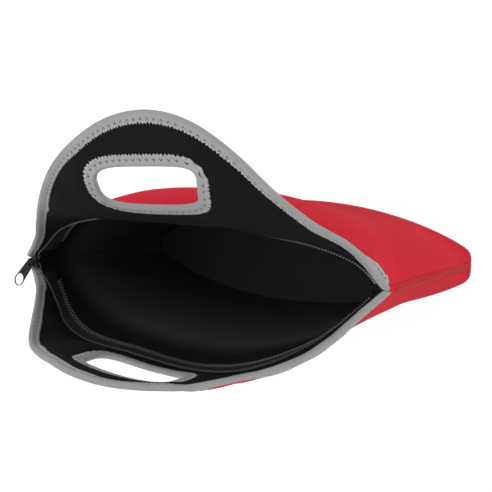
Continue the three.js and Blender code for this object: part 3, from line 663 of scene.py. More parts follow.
edge_v = np.linspace(-1, 1, 1601)
left_end_width, right_end_width, wide_at_right, raised_at_right = 5.5, 5.0, 9.4, 0.45
ribbons = {}
for label, one in sides:
    x = edge_v * half_lip
    inside = (x * 0.999, np.full(len(x), -30.0))
    edge = ribbon(one, x, flap_height(edge_v), inside, edge_spacing, False)
    away = edge["rows"][:, 0] / half_lip
    end_width = np.where(away < 0, left_end_width, right_end_width)
    edge["width"] = end_width + (edge_width - end_width) * smooth((1 - np.abs(away)) / 0.16)
    cut_off = np.clip(one["corner_round"] - (edge["s"][-1] - edge["s"]), 0, None)
    rounded = one["corner_round"] - np.sqrt(one["corner_round"] ** 2 - cut_off**2)
    widened = (wide_at_right - right_end_width) * smooth((away - one["wide_from"]) / 0.42)
    edge["outer_width"] = edge["width"] + widened - rounded
    edge.update(needle=edge_needle, cloth=edge_cloth, bound=edge_width,
                raised=raised_at_right * smooth((away - 0.5) / 0.2))
    ribbons[label, "edge"] = edge
    outward = (hole_edge[:, 0] * 3, hole_centre + (hole_edge[:, 1] - hole_centre) * 3)
    hole = ribbon(one, hole_edge[:, 0], hole_edge[:, 1], outward, hole_spacing, True)
    hole["width"] = hole["outer_width"] = np.full(len(hole["s"]), hole_width)
    hole.update(needle=hole_needle, cloth=hole_cloth, bound=hole_width,
                raised=np.zeros(len(hole["s"])))
    ribbons[label, "hole"] = hole
    print(label, "edge", round(float(edge["length"])), "mm, hand hole",
          round(float(hole["length"])), "mm round")

# %% [markdown]
# The binding's section is a U with a round fold and two soft ends. It dips where the needle row
# runs, two or three millimetres from its cut edge, with a pit at each needle hole, and it swells
# between the stitches. The pits are 5.2 mm apart, and the thread draws the cut edge into small
# teeth at half that pitch.

# %% Bindings
stitch_pitch, tooth_pitch, fold_radius = 5.2, 2.6, 1.9
leg_shares = np.array([0.05, 0.2, 0.4, 0.6, 0.75, 0.88, 1.0, 1.12, 1.28])
fold_turns = np.radians([-78, -52, -26, 0, 26, 52, 78])


def stitch_relief(s, e, needle):
    """Height of the binding's face over its plain section, at e from its cut edge."""
    off = (s / stitch_pitch) % 1 - 0.5
    channel = -0.16 * np.exp(-(((e - needle) / 0.8) ** 2))
    pits = -0.24 * np.exp(-((off * stitch_pitch / 0.5) ** 2) - (((e - needle) / 0.45) ** 2))
    puff = 0.08 * np.cos(2 * np.pi * (off + 0.5)) * np.exp(-(((e - 0.5 * needle) / 0.9) ** 2))
    return channel + pits + puff


def ribbon_face(one, ribbon, index, p, depth):
    """Points p into the sheet from its rim and a depth from its middle, at places of a ribbon."""
    x, t, step_x, step_t = [ribbon["rows"][index, k] for k in range(4)]
    place = sheet_at(one, x + step_x * p, t + step_t * p)
    pressed_here = squeeze(np.maximum(p, fold_radius), ribbon["bound"])
    padded = np.clip(place[2] - pressed_here, 0, None) * (p > fold_radius)
    raised = ribbon["raised"][index] * smooth((p - 0.6) / 2) * (depth > 0)
    return laid(place, depth + np.sign(depth) * half_laminate * padded + raised)


def binding_depth(ribbon, p):
    """Depth of the binding's plain face over the pressed laminate."""
    return half_laminate * squeeze(np.maximum(p, fold_radius), ribbon["bound"]) + 0.06 + ribbon["cloth"]


def binding(name, one, ribbon):
    """A folded strip along a ribbon, sewn through, its cut edges drawn into teeth."""
    s, cloth, needle = ribbon["s"][:, None], ribbon["cloth"], ribbon["needle"]
    index = np.arange(len(ribbon["s"]))[:, None]
    tooth = s / tooth_pitch
    uneven = 0.6 + 0.4 * np.sin(4.3 * np.floor(tooth + 0.5))
    notch = uneven * (0.5 + 0.5 * np.cos(2 * np.pi * tooth)) ** 0.9
    fold = fold_radius * (1 - np.cos(fold_turns)) + 0 * s
    inner_turns = np.radians([-60, 0, 60])
    inner_fold = cloth + (fold_radius - cloth) * (1 - np.cos(inner_turns)) + 0 * s
    fold_depth = binding_depth(ribbon, fold_radius)
    cut = 1.15 * notch - 0.45
    faces = []
    for width in (ribbon["outer_width"][:, None], ribbon["width"][:, None]):
        e = np.where(leg_shares <= 1, cut + (needle - cut) * leg_shares, needle * leg_shares)
        e = np.hstack([e, e[:, -1:] + (width - fold_radius - e[:, -1:]) * np.array([0.3, 0.65, 1.0])])
        leg, inner_end = width - e, width - cut - 0.12
        under = inner_end - (inner_end - fold_radius) * np.array([0, 0.33, 0.66, 1])
        faces.append((np.hstack([width - cut, leg]), under,
                      np.hstack([binding_depth(ribbon, width) - cloth / 2,
                                 binding_depth(ribbon, leg) + stitch_relief(s, e, needle)]),
                      binding_depth(ribbon, under) - cloth, width))
    (over, under, high, low, width), (over_2, under_2, high_2, low_2, width_2) = faces
    p = np.hstack([over, fold, over_2[:, ::-1], under_2, inner_fold, under[:, ::-1]])
    d = np.hstack([high, fold_depth * np.sin(fold_turns[::-1]) + 0 * s, -high_2[:, ::-1], -low_2,
                   (fold_depth - cloth) * np.sin(inner_turns) + 0 * s, low[:, ::-1]])
    rings = ribbon_face(one, ribbon, np.broadcast_to(index, p.shape), p, d)
    from_cut = np.where(d > 0, width, width_2) - p
    return ring_body(name, rings, np.broadcast_to(s, p.shape), from_cut, ribbon)


def ring_body(name, rings, u, w, path):
    """A closed body through rings of points; u and w are its map in millimetres."""
    count, around = rings.shape[:2]
    ids = np.arange(count * around).reshape(count, around)
    after = np.roll(ids, -1, 0) if path["closed"] else ids[1:]
    here = ids if path["closed"] else ids[:-1]
    quads = np.stack([here, after, np.roll(after, -1, 1), np.roll(here, -1, 1)], -1).reshape(-1, 4)
    places = np.column_stack([u.ravel(), w.ravel()])[quads]
    if path["closed"]:
        last = quads[:, 0] // around == count - 1
        places[last, 1:3, 0] += path["length"]
    caps = [] if path["closed"] else [ids[0].tolist(), ids[-1, ::-1].tolist()]
    return make_piece(name, rings.reshape(-1, 3), quads, places, caps)


for label, one in sides:
    for kind in ("edge", "hole"):
        piece = binding(f"{label}_{kind}_trim", one, ribbons[label, kind])
        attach(piece, "bag")
        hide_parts(f"{label}_{kind}_binding")
        pieces[label, kind] = piece

# %% [markdown]
# A thread is a thin round strand that dives into the cloth at both ends. Hundreds of them share
# one mesh, each with a few dozen faces. On the bindings two legs spread from each needle hole to
# the notches of the cut edge, which is what draws that edge into teeth.

# %% Threads
def threads(name, paths, normals, radius, sides=6, long=None):
    """Many short strands as one piece; paths and normals are (strands, points, 3)."""
    paths, normals = np.asarray(paths), np.asarray(normals)
    heading = unit(np.gradient(paths, axis=1))
    sideways = unit(np.cross(heading, normals))
    lift = np.cross(sideways, heading)
    turn = np.arange(sides) / sides * 2 * np.pi
    rings = (paths[:, :, None] + radius * (np.cos(turn)[:, None] * sideways[:, :, None]
                                           + np.sin(turn)[:, None] * lift[:, :, None]))
    strands, steps = paths.shape[:2]
    ids = np.arange(strands * steps * sides).reshape(strands, steps, sides)
    beside = np.roll(ids, -1, 2)
    quads = np.stack([ids[:, :-1], ids[:, 1:], beside[:, 1:], beside[:, :-1]], -1).reshape(-1, 4)
    half = sides // 2
    halves = (0, 1, half - 1, half), (half, half + 1, -1, 0)
    ends = [ids[:, k][:, corners][:, ::order] for corners in halves for k, order in ((0, 1), (-1, -1))]
    length = long
    if long is None:
        length = np.linalg.norm(np.diff(paths, axis=1), axis=2).sum(1)
        length = np.repeat(length, steps * sides)
    share = np.tile(np.repeat(np.linspace(0, 1, steps), sides), strands)
    round_it = np.tile(turn * radius, strands * steps)
    places = np.column_stack([share * length, round_it])
    return make_piece(name, rings.reshape(-1, 3), np.concatenate([quads, *ends]), places)


def fan_threads(name, one, ribbon):
    """Two legs from every needle hole of a binding to its cut edge, on both faces."""
    total = int(ribbon["length"] // stitch_pitch)
    spacing, needle = ribbon["s"][1], ribbon["needle"]
    e = np.array([needle, 0.88 * needle, 0.6 * needle, 0.32 * needle, -0.1, -0.75])
    share = (needle - e) / (needle - e[-1])
    lift = np.array([-0.30, -0.04, -0.02, 0.0, 0.0, -0.5])
    paths, normals = [], []
    for face, widths in ((1, ribbon["outer_width"]), (-1, ribbon["width"])):
        for lean in (-0.5, 0.5):
            s = (np.arange(total)[:, None] + 0.5) * stitch_pitch + lean * tooth_pitch * share
            index = np.clip((s / spacing).round().astype(int), 0, len(ribbon["s"]) - 1)
            p = widths[index] - e
            depth = binding_depth(ribbon, p) + stitch_relief(s, e, needle) + lift
            paths.append(ribbon_face(one, ribbon, index, p, face * depth))
            row = ribbon["rows"][index]
            normals.append(face * sheet_at(one, row[..., 0], row[..., 1])[1])
    return threads(name, np.concatenate(paths), np.concatenate(normals), 0.15)


for label, one in sides:
    for kind in ("edge", "hole"):
        piece = fan_threads(f"{label}_{kind}_stitches", one, ribbons[label, kind])
        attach(piece, "bag")
        pieces[label, kind, "thread"] = piece

# %% [markdown]
# The panels are joined by flat seams, sewn with a wide zigzag that lies on both faces. The same
# stitch runs round the foot, and two rows hold the zipper tape: dark thread shows a little
# lighter than the lining inside, red thread on the skin outside.

# %% Seam stitches
seam_pitch, zipper_stitch_pitch, thread_radius = 2.4, 3.6, 0.24
thread_shares = np.array([0, 0.12, 0.5, 0.88, 1])


def across_seam(end, face, first, last):
    """Strands that zigzag from the back panel to the front one over an end seam."""
    reach = half_lip - np.array([2.7, 2.35, 1.2])
    t = np.arange(first, last, seam_pitch / 2)
    t = t[: len(t) // 2 * 2]
    lift = np.array([-0.35, 0.12, 0.16])
    depth = face * (half_laminate + lift)
    legs, normals = [], []
    for k, (start, stop) in enumerate(((back, front), (front, back))):
        t0, t1 = t[k:-1:2][:, None], t[k + 1::2][: len(t[k:-1:2])][:, None]
        step = (t1 - t0) * np.array([0, 0.08, 0.3])
        a = on_face(start, end * reach, t0 + step, depth)
        b = on_face(stop, end * reach, t1 - step, depth)
        middle = (on_face(start, end * half_lip, (t0 + t1) / 2, depth[2])
                  + on_face(stop, end * half_lip, (t0 + t1) / 2, depth[2])) / 2
        legs.append(np.concatenate([a, middle, b[:, ::-1]], 1))
        na = face * sheet_at(start, end * reach, t0 + step)[1]
        nb = face * sheet_at(stop, end * reach, t1 - step)[1]
        normals.append(np.concatenate([na, unit(na[:, -1:] + nb[:, -1:]), nb[:, ::-1]], 1))
    return np.concatenate(legs), np.concatenate(normals)


def zigzag(one, x_from, x_to, low, high, face, pitch, base=half_laminate, at_foot=False):
    """Strands that zigzag along one side between two heights off the zipper line or the foot."""
    x = np.arange(x_from, x_to, pitch / 2)[:, None]
    up = (np.arange(len(x)) % 2 == 0)[:, None]
    t = np.where(up, low + (high - low) * thread_shares, high + (low - high) * thread_shares)
    depth = base + np.array([-0.35, 0.12, 0.17, 0.12, -0.35])
    if at_foot:
        depth = depth - 0.55 * np.clip((3.6 - t) / 3.6, 0, 1) ** 2
        t = t - np.interp(x / half_lip, v, one["wall_height"])
    where = x + thread_shares * pitch / 2
    depth = np.broadcast_to(face * depth, t.shape)
    return on_face(one, where, t, depth), face * sheet_at(one, where, t)[1]


top_of_seam = {1: {1: -4.5, -1: 1.0}, -1: {1: -2.0, -1: -2.0}}
for end, label in ((1, "right"), (-1, "left")):
    low = -back["wall_height"][-1 if end == 1 else 0] + 1.5
    for face, cloth in ((1, "outer"), (-1, "inner")):
        start = low if face == 1 else low + 4.5
        paths, normals = across_seam(end, face, start, top_of_seam[end][face])
        piece = threads(f"{label}_seam_{cloth}_stitches", paths, normals, 0.17)
        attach(piece, "bag")
        pieces[label, cloth, "thread"] = piece
for label, one in sides:
    for kind, rows in (
        ("foot", (3 - half_lip, half_lip - 3, 1.2, 4.6, 1, seam_pitch, half_laminate, True)),
        ("zipper_outer", (-150, 150, -11.6, -8.2, 1, zipper_stitch_pitch)),
    ):
        piece = threads(f"{label}_{kind}_stitches", *zigzag(one, *rows), thread_radius)
        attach(piece, "bag")
        pieces[label, kind, "thread"] = piece

# %% [markdown]
# The zipper tape is a flat woven strip sewn to the lining just under the zipper line. Its upper
# edge is thinner and runs behind the coil. A row of zigzag holds its lower half.

# %% Zipper tapes
tape_stitch_pitch, tape_thread_radius = 3.0, 0.22
slider_spot, slider_yaw = back["line"][0] + (5.2, 0, 10.4), 0.12
zipper_end = eased(22 / 24)


def climb(one, x):
    """The zipper leaves its line near the slider and climbs to the slider's mouth."""
    start, arch = one["climb"]
    share = np.maximum(0, (-x / half_lip - start) / (zipper_end - start))
    return 4.4 * share**2 + arch * np.sin(math.pi * np.minimum(share, 1) ** 1.6)


tape_profile = np.array([(1.1, 0.08), (-1.7, 0.12), (-2.6, 0.5), (-13.6, 0.5), (-13.8, 0.8),
                         (-13.6, 1.1), (-2.4, 1.1), (-1.5, 0.44), (1.1, 0.42)])
tape_end = zipper_end * half_lip
tape_x = np.unique(np.clip(np.arange(-158, 158.1, 1.0), -tape_end, tape_end))
for label, one in sides:
    x = tape_x[:, None]
    t = tape_profile[:, 0] + climb(one, x)
    rings = on_sheet(one, x + 0 * t, t, -(half_laminate + tape_profile[:, 1]) + 0 * t)
    piece = ring_body(f"{label}_tape", rings, x + 0 * t, t + 0 * x, dict(closed=False))
    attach(piece, "bag")
    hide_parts(f"{label}_zipper_tape")
    pieces[label, "tape"] = piece
    paths, normals = zigzag(one, -148, 150, -12.8, -7.2, -1, tape_stitch_pitch, half_laminate + 1.1)
    piece = threads(f"{label}_tape_stitches", paths, normals, tape_thread_radius)
    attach(piece, "bag")
    pieces[label, "tape", "thread"] = piece

# %% [markdown]
# The teeth of a coil zipper are one long nylon helix, flattened so that it is wider than thick.
# Its middle line runs along the lining and then turns into the slider's mouth.

# %% Zipper coils
coil_pitch, coil_strand, coil_lift = 1.9, 0.25, 0.9
coil_half_width, coil_half_thickness = 1.3 - coil_strand, 0.9 - coil_strand


def slider_to_bag(x, y, z):
    """A point given in the slider's own directions, x toward its mouth."""
    c, s = math.cos(slider_yaw), math.sin(slider_yaw)
    return slider_spot + np.array([x * c - y * s, x * s + y * c, z])


def coil(name, one):
    x = np.arange(-tape_end, tape_end, 0.5)
    t = climb(one, x)
    centre = on_sheet(one, x, t + coil_lift, -(half_laminate + 0.4 + 0.9))
    rise = unit(on_face(one, x, t + 1, -2.5) - on_face(one, x, t - 1, -2.5))
    outward = unit(sheet_at(one, x, t)[1])
    mouth = slider_to_bag(4.9, one["side"] * 2.6, 0)
    into = slider_to_bag(-1, 0, 0) - slider_to_bag(0, 0, 0)
    flat_rise = -one["side"] * (slider_to_bag(0, 1, 0) - slider_to_bag(0, 0, 0))
    w = np.linspace(0, 1, 24, endpoint=False)[:, None]
    reach = np.linalg.norm(centre[0] - mouth)
    leave, arrive = -into * reach, unit(centre[1] - centre[0]) * reach
    lead = (mouth * (2 * w**3 - 3 * w**2 + 1) + leave * (w**3 - 2 * w**2 + w)
            + centre[0] * (3 * w**2 - 2 * w**3) + arrive * (w**3 - w**2))
    turn = smooth(w)
    centre = np.vstack([lead, centre])
    rise = np.vstack([unit(flat_rise * (1 - turn) + rise[0] * turn), rise])
    outward = np.vstack([unit(np.array([0, 0, 1.0]) * (1 - turn) + outward[0] * turn), outward])
    lengths = lengths_of(centre)
    s = np.arange(0, lengths[-1], coil_pitch / 12)
    centre, rise, outward = [np.stack([np.interp(s, lengths, rows[:, k]) for k in range(3)], -1)
                             for rows in (centre, rise, outward)]
    phase = (s / coil_pitch * 2 * np.pi)[:, None]
    path = (centre + rise * np.cos(phase) * coil_half_width
            + outward * np.sin(phase) * coil_half_thickness)
    return threads(name, path[None], unit(rise + outward * 0.3)[None], coil_strand, long=s[-1])


for label, one in sides:
    piece = coil(f"{label}_teeth", one)
    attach(piece, "bag")
    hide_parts(f"{label}_coil")
    pieces[label, "coil"] = piece

# %% [markdown]
# The slider and the two stops are rigid pieces. Their CAD solids have the right outlines, so
# each is copied, its loose triangles are merged, flat faces are joined again, and the sharp
# edges get a small cast radius. Die-cast zinc has no knife edges, and it is the rounded edge
# that catches the light.

# %% Slider and stops
flat_within, smooth_within = math.radians(2), math.radians(42)


def cast_copy(name, node, radius, levels=3):
    """A copy of a CAD node with its sharp edges rounded."""
    bpy.ops.object.select_all(action="DESELECT")
    piece = frame["nodes"][node].copy()
    piece.data = frame["nodes"][node].data.copy()
    piece.parent = None
    for key in list(piece.keys()):
        del piece[key]
    piece.name = piece.data.name = name
    piece.data.materials.clear()
    bpy.context.scene.collection.objects.link(piece)
    bpy.context.view_layer.objects.active = piece
    piece.select_set(True)
    bpy.ops.object.mode_set(mode="EDIT")
    bpy.ops.mesh.select_all(action="SELECT")
    bpy.ops.mesh.remove_doubles(threshold=1e-6)
    bpy.ops.mesh.dissolve_limited(angle_limit=flat_within)
    bpy.ops.object.mode_set(mode="OBJECT")
    soften = piece.modifiers.new("soften", "BEVEL")
    soften.width, soften.segments = radius / 1000, levels
    soften.limit_method, soften.angle_limit = "ANGLE", math.radians(40)
    bpy.ops.object.modifier_apply(modifier="soften")
    bpy.ops.object.shade_smooth_by_angle(angle=smooth_within)
    print(name, len(piece.data.polygons), "faces, a", radius, "mm cast radius")
    return piece


for name, node, body, radius in (
    ("slider", "slider_body", "slider", 0.18),
    ("back_stop", "back_top_stop", "bag", 0.3),
    ("front_stop", "front_top_stop", "bag", 0.3),
):
    piece = cast_copy(name, node, radius)
    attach(piece, body)
    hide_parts(node)
    pieces[name, "metal"] = piece

# %% [markdown]
# The pull is stamped from sheet metal: a flat bar with a square eye for the bridge and a wide
# oval opening whose rim is thin. It is drawn as a flat curve with two holes, given its
# thickness and a small bevel, made a mesh, and set on the hinge of the CAD part.

# %% Pull
joints = frame["record"]["behaviour"]["joints"]
hinge = next(joint for joint in joints if joint["name"] == "pull_hinge")
pull_bearing, pull_length, pull_half_width, pull_thickness, pull_bevel = 3.99, 25.8, 3.5, 1.0, 0.15
oval_half_length, oval_half_width, oval_rim = 5.9, 4.5, 0.58
eye_near, eye_far, eye_half_width = 0.45, 3.4, 1.95


def flat_spline(curve, points):
    spline = curve.splines.new("POLY")
    spline.points.add(len(points) - 1)
    points = np.column_stack([points, np.zeros(len(points)), np.ones(len(points))])
    spline.points.foreach_set("co", points.ravel() / 1000)
    spline.use_cyclic_u = True


def oval(half_length, half_width, start, stop, count):
    turn = np.linspace(start, stop, count)
    middle = pull_length - oval_half_length
    return np.column_stack([middle + half_length * np.cos(turn), half_width * np.sin(turn)])


drawn = bpy.data.curves.new("pull", "CURVE")
drawn.dimensions, drawn.fill_mode = "2D", "BOTH"
drawn.extrude = (pull_thickness / 2 - pull_bevel) / 1000
drawn.bevel_depth, drawn.bevel_resolution = pull_bevel / 1000, 2
drawn.offset = -pull_bevel / 1000
corner = np.array([(-0.45, -2.3), (-0.25, -3.0), (0.4, -3.25), (2.0, -3.25), (4.6, -pull_half_width)])
far_end = oval(oval_half_length, oval_half_width, -math.pi / 2 - 0.35, math.pi / 2 + 0.35, 40)
opening = oval(oval_half_length - oval_rim, oval_half_width - oval_rim, 0, 2 * math.pi, 41)[:-1]
flat_spline(drawn, np.vstack([corner, far_end, corner[::-1] * (1, -1)]))
flat_spline(drawn, opening)
flat_spline(drawn, np.array([(eye_near, -eye_half_width), (eye_far, -eye_half_width),
                             (eye_far, eye_half_width), (eye_near, eye_half_width)]))
bpy.ops.object.select_all(action="DESELECT")
tab = bpy.data.objects.new("pull", drawn)
bpy.context.scene.collection.objects.link(tab)
bpy.context.view_layer.objects.active = tab
tab.select_set(True)
bpy.ops.object.convert(target="MESH")
tab = bpy.context.object
bpy.ops.object.mode_set(mode="EDIT")
bpy.ops.mesh.select_all(action="SELECT")
bpy.ops.mesh.remove_doubles(threshold=1e-6)
bpy.ops.mesh.normals_make_consistent(inside=False)
bpy.ops.object.mode_set(mode="OBJECT")
tab.data.transform(Matrix.Translation(hinge["pos_m"]) @ Matrix.Rotation(pull_bearing, 4, "Z"))
bpy.ops.object.shade_smooth_by_angle(angle=smooth_within)
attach(tab, "pull")
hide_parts("pull_tab")
pieces["pull", "metal"] = tab
print("pull", len(tab.data.polygons), "faces,", pull_length, "mm long")

# %% [markdown]
# Finishes are built from nodes. A wrapped socket takes part in ordinary Python sums, and every
# sum becomes a Math node, so a weave can be written as a formula of the cloth's own map.

# %% Shader sums
class Wire:
    """A value in a material that can be used in Python sums."""

    def __init__(self, finish, socket):
        self.finish, self.socket = finish, socket

    def math(self, operation, *others):
        inputs = dict(enumerate([self, *others]))
        return self.finish.node("ShaderNodeMath", {"operation": operation}, inputs)

    def __add__(self, other):
        return self.math("ADD", other)

    def __sub__(self, other):
        return self.math("SUBTRACT", other)

    def __rsub__(self, other):
        inputs = {0: other, 1: self}
        return self.finish.node("ShaderNodeMath", {"operation": "SUBTRACT"}, inputs)

    def __mul__(self, other):
        return self.math("MULTIPLY", other)

    def __truediv__(self, other):
        return self.math("DIVIDE", other)

    def __pow__(self, other):
        return self.math("POWER", other)

    __radd__, __rmul__ = __add__, __mul__


class Finish:
    """The nodes of one material, or of the sky; varying inputs are linked by name."""

    def __init__(self, name, owner=None, **constants):
        self.material = owner or bpy.data.materials.new(name)
        self.material.use_nodes = True
        self.tree = self.material.node_tree
        shaders = [node for node in self.tree.nodes if node.type in ("BSDF_PRINCIPLED", "BACKGROUND")]
        self.shader = shaders[0]
        for socket, value in constants.items():
            self.shader.inputs[socket.replace("_", " ")].default_value = value

    def node(self, kind, settings=None, inputs=None, output=0):
        made = self.tree.nodes.new(kind)
        for name, value in (settings or {}).items():
            setattr(made, name, value)
        for name, value in (inputs or {}).items():
            if isinstance(value, Wire):
                self.tree.links.new(value.socket, made.inputs[name])
            else:
                made.inputs[name].default_value = value
        return Wire(self, made.outputs[output])

    def feed(self, socket, wire):
        self.tree.links.new(wire.socket, self.shader.inputs[socket])

    def parts(self, vector):
        """The three parts of a vector."""
        first = self.node("ShaderNodeSeparateXYZ", {}, {0: vector})
        return [Wire(self, socket) for socket in first.socket.node.outputs]

    def cloth_map(self):
        return self.parts(self.node("ShaderNodeUVMap", {"uv_map": "cloth"}))[:2]

    def place(self):
        return self.node("ShaderNodeTexCoord", output=3)

    def noise(self, scale, detail=2.0):
        inputs = {"Vector": self.place(), "Scale": scale, "Detail": detail}
        return self.node("ShaderNodeTexNoise", {}, inputs)

    def blend(self, share, low, high):
        inputs = {0: share, 6: low, 7: high}
        return self.node("ShaderNodeMix", {"data_type": "RGBA"}, inputs, output=2)

    def clamp(self, value, low, high):
        """0 at low and below, 1 at high and above, smooth between."""
        inputs = {"Value": value, "From Min": low, "From Max": high}
        return self.node("ShaderNodeMapRange", {"interpolation_type": "SMOOTHSTEP"}, inputs)

    def bump(self, height, depth, strength=1.0):
        inputs = {"Height": height, "Distance": depth, "Strength": strength}
        return self.node("ShaderNodeBump", {}, inputs)

    def surface(self, color, roughness, normal):
        self.feed("Base Color", color)
        self.feed("Roughness", roughness)
        self.feed("Normal", normal)
        return self


def repeat(value, pitch):
    """-0.5 to 0.5 over each pitch, zero in its middle."""
    return (value / pitch).math("FRACT") - 0.5


def wave(turns):
    """0 to 1 and back for each turn."""
    return (turns * (2 * math.pi)).math("SINE") * 0.5 + 0.5


def grey(level):
    return level, level, level, 1


print("finishes can be written as sums")

# %% [markdown]
# The skin and the lining are jersey knit. Seen close it is columns of small Vs: two slanting
# legs to each column, one V to each course. From a step away it reads as an even, dull cloth
# with a faint nap, so the Vs are fine and shallow, and the colour drifts a little across the
# panels and pales where the cloth is rubbed.

# %% Knit finishes
# The last number says how much lighter the lining is painted low inside the tote, as painted light.
seam_row, needle_pitch, painted_light_gain = 3.3, 3.3, 5.8


def knit(name, color, pale, wale, course, worn, painted_light_heights=None, dotted=False, **constants):
    """Knit cloth; dotted adds the seam's needle holes, and the heights for painted light lighten the
    colour below them, as painted light in the shaded inside.
    """
    finish = Finish(name, **constants)
    x, y = finish.cloth_map()
    column = repeat(x, wale).math("ABSOLUTE") * 2
    slant = (y / course + column * 0.55) * (2 * math.pi)
    legs = (column * math.pi).math("SINE").math("MAXIMUM", 0.0) ** 0.6
    stitch = legs * (slant.math("COSINE") * 0.5 + 0.5)
    drift = finish.noise(14.0, 3.0)
    fuzz = finish.noise(2600.0, 1.0)
    rubbed = finish.clamp(drift + fuzz * 0.25, 0.62, 0.9) * worn
    share = (stitch * 0.34 + fuzz * 0.3 + drift * 0.5 - 0.12 + rubbed).math("MINIMUM", 1.0)
    shade = finish.blend(share.math("MAXIMUM", 0.0), color, pale)
    if dotted:
        row = (x.math("ABSOLUTE") - (half_lip - seam_row)).math("ABSOLUTE")
        off = (repeat(y, needle_pitch) * needle_pitch).math("ABSOLUTE")
        dots = (1 - finish.clamp((off**2 + row**2).math("SQRT"), 0.45, 0.85)) * 0.8
        shade = finish.blend(dots, shade, [0.35 * channel for channel in color[:3]] + [1])
    # Below the given heights the colour is made lighter: painted light in the shaded inside of the tote.
    if painted_light_heights:
        height = finish.parts(finish.place())[2]
        painted_light_share = 1 - finish.clamp(height, painted_light_heights[1], painted_light_heights[0])
        shade = finish.blend(painted_light_share, shade, [painted_light_gain * channel for channel in pale[:3]] + [1])
    return finish.surface(shade, 0.78 + fuzz * 0.2, finish.bump(stitch + fuzz * 0.5, 0.00022, 0.55))


finishes = {
    "red_knit": knit(
        "red_knit", (0.50, 0.010, 0.024, 1), (0.62, 0.022, 0.038, 1), 0.8, 0.62, 0.4,
        dotted=True, Sheen_Weight=0.03, Sheen_Roughness=0.45, Specular_IOR_Level=0.08),
    # The lining is painted lighter below 140 to 170 mm: painted light in the shaded inside.
    "black_knit": knit(
        "black_knit", (0.0050, 0.0050, 0.0052, 1), (0.0096, 0.0096, 0.0100, 1), 0.7, 0.55, 0.5,
        painted_light_heights=(0.17, 0.14), Sheen_Weight=0.01, Sheen_Roughness=0.5, Specular_IOR_Level=0.06),
}
finishes["red_knit"].shader.inputs["Sheen Tint"].default_value = (1.0, 0.55, 0.58, 1)
print("two knits")

# %% [markdown]
# The binding is a grey stretch tape with fine ribs across it. Along the needle row it is painted
# with dark specks, painted shade in its pits, and the map along and across the strip says where
# they fall, so that they sit in the pits that the shape has. The cut edge is slightly furred, with
# painted shade in the notches between its teeth, and the fold has fine dark ticks, painted shade
# between its ribs.

# %% Binding, threads, tape, teeth, foam and metal
def stretch_binding(name, needle, outer_row):
    finish = Finish(name, Sheen_Weight=0.08, Sheen_Roughness=0.5, Specular_IOR_Level=0.25)
    s, e = finish.cloth_map()
    ribs, grain = wave(s / 0.62), wave(e / 0.5)
    off = (repeat(s, stitch_pitch) * stitch_pitch).math("ABSOLUTE")
    from_needle = e - needle
    # Slanted dark legs by the needle row: painted shade in the needle pits, which the shape has too.
    leg = (off - 0.3 + from_needle * 0.55).math("ABSOLUTE")
    near = finish.clamp(from_needle, -1.3, -0.8) * (1 - finish.clamp(from_needle, 0.55, 0.9))
    painted_pit_shade = (1 - finish.clamp(leg, 0.22, 0.5)) * near
    furred = 1 - finish.clamp(e, 0.3, 2.0)
    # Near the cut edge the colour darkens at each notch between the teeth: painted shade in the notches.
    between = ((s * (2 * math.pi / tooth_pitch)).math("COSINE") * 0.5 + 0.5) * furred
    # Fine dark ticks on the fold: painted shade between its ribs.
    painted_rib_shade = wave(s / 1.15) * finish.clamp(e, outer_row - 1.6, outer_row - 0.4)
    drift = finish.noise(40.0, 3.0)
    fuzz = finish.noise(2400.0, 1.0)
    share = ribs * 0.22 + grain * 0.1 + fuzz * 0.3 + drift * 0.45 + furred * 0.45 - 0.1
    plain = finish.blend(share.math("MINIMUM", 1.0), grey(0.27), grey(0.42))
    dark = (painted_pit_shade * (0.45 + drift)).math("MAXIMUM", painted_rib_shade * 0.4)
    dark = dark.math("MAXIMUM", between * 0.3).math("MINIMUM", 0.95)
    normal = finish.bump(ribs + grain * 0.4 + fuzz * 0.5, 0.00016, 0.6)
    return finish.surface(finish.blend(dark, plain, grey(0.04)), 0.75 + fuzz * 0.2, normal)


def thread_finish(name, color, pale):
    finish = Finish(name, Sheen_Weight=0.1, Specular_IOR_Level=0.4)
    s, w = finish.cloth_map()
    twist = wave(s / 0.55 + w / 1.4)
    shade = finish.blend(twist, color, pale)
    return finish.surface(shade, 0.62 + twist * 0.12, finish.bump(twist, 0.00008, 0.7))


def woven_tape():
    finish = Finish("zipper_tape", Specular_IOR_Level=0.3)
    x, y = finish.cloth_map()
    fold = repeat(y, 2.6).math("ABSOLUTE") * 2
    ridge = wave(x / 0.55 + fold * 2.2)
    fuzz = finish.noise(2600.0, 1.0)
    shade = finish.blend(ridge * 0.6 + fuzz * 0.4, grey(0.006), grey(0.021))
    return finish.surface(shade, 0.7 + fuzz * 0.2, finish.bump(ridge + fuzz * 0.4, 0.0002, 0.7))


def nylon():
    finish = Finish("zipper_coil", Specular_IOR_Level=0.55)
    s, _ = finish.cloth_map()
    drift = finish.noise(900.0, 2.0)
    # Each turn of the coil is painted lighter at one place of its pitch: a painted highlight on its
    # crests.
    crest = finish.clamp(repeat(s, coil_pitch).math("ABSOLUTE"), 0.33, 0.43)
    shade = finish.blend(crest * (0.7 + drift * 0.4), grey(0.012), (0.34, 0.34, 0.35, 1))
    finish.feed("Base Color", shade)
    finish.feed("Roughness", 0.35 + drift * 0.2)
    return finish


def cell_foam():
    finish = Finish("foam", Specular_IOR_Level=0.2)
    cells = finish.node("ShaderNodeTexVoronoi", {}, {"Vector": finish.place(), "Scale": 1800.0})
    shade = finish.blend(cells * 1.3, (0.030, 0.030, 0.032, 1), (0.075, 0.075, 0.078, 1))
    return finish.surface(shade, 0.8 + cells * 0.1, finish.bump(cells, 0.0003, 0.6))


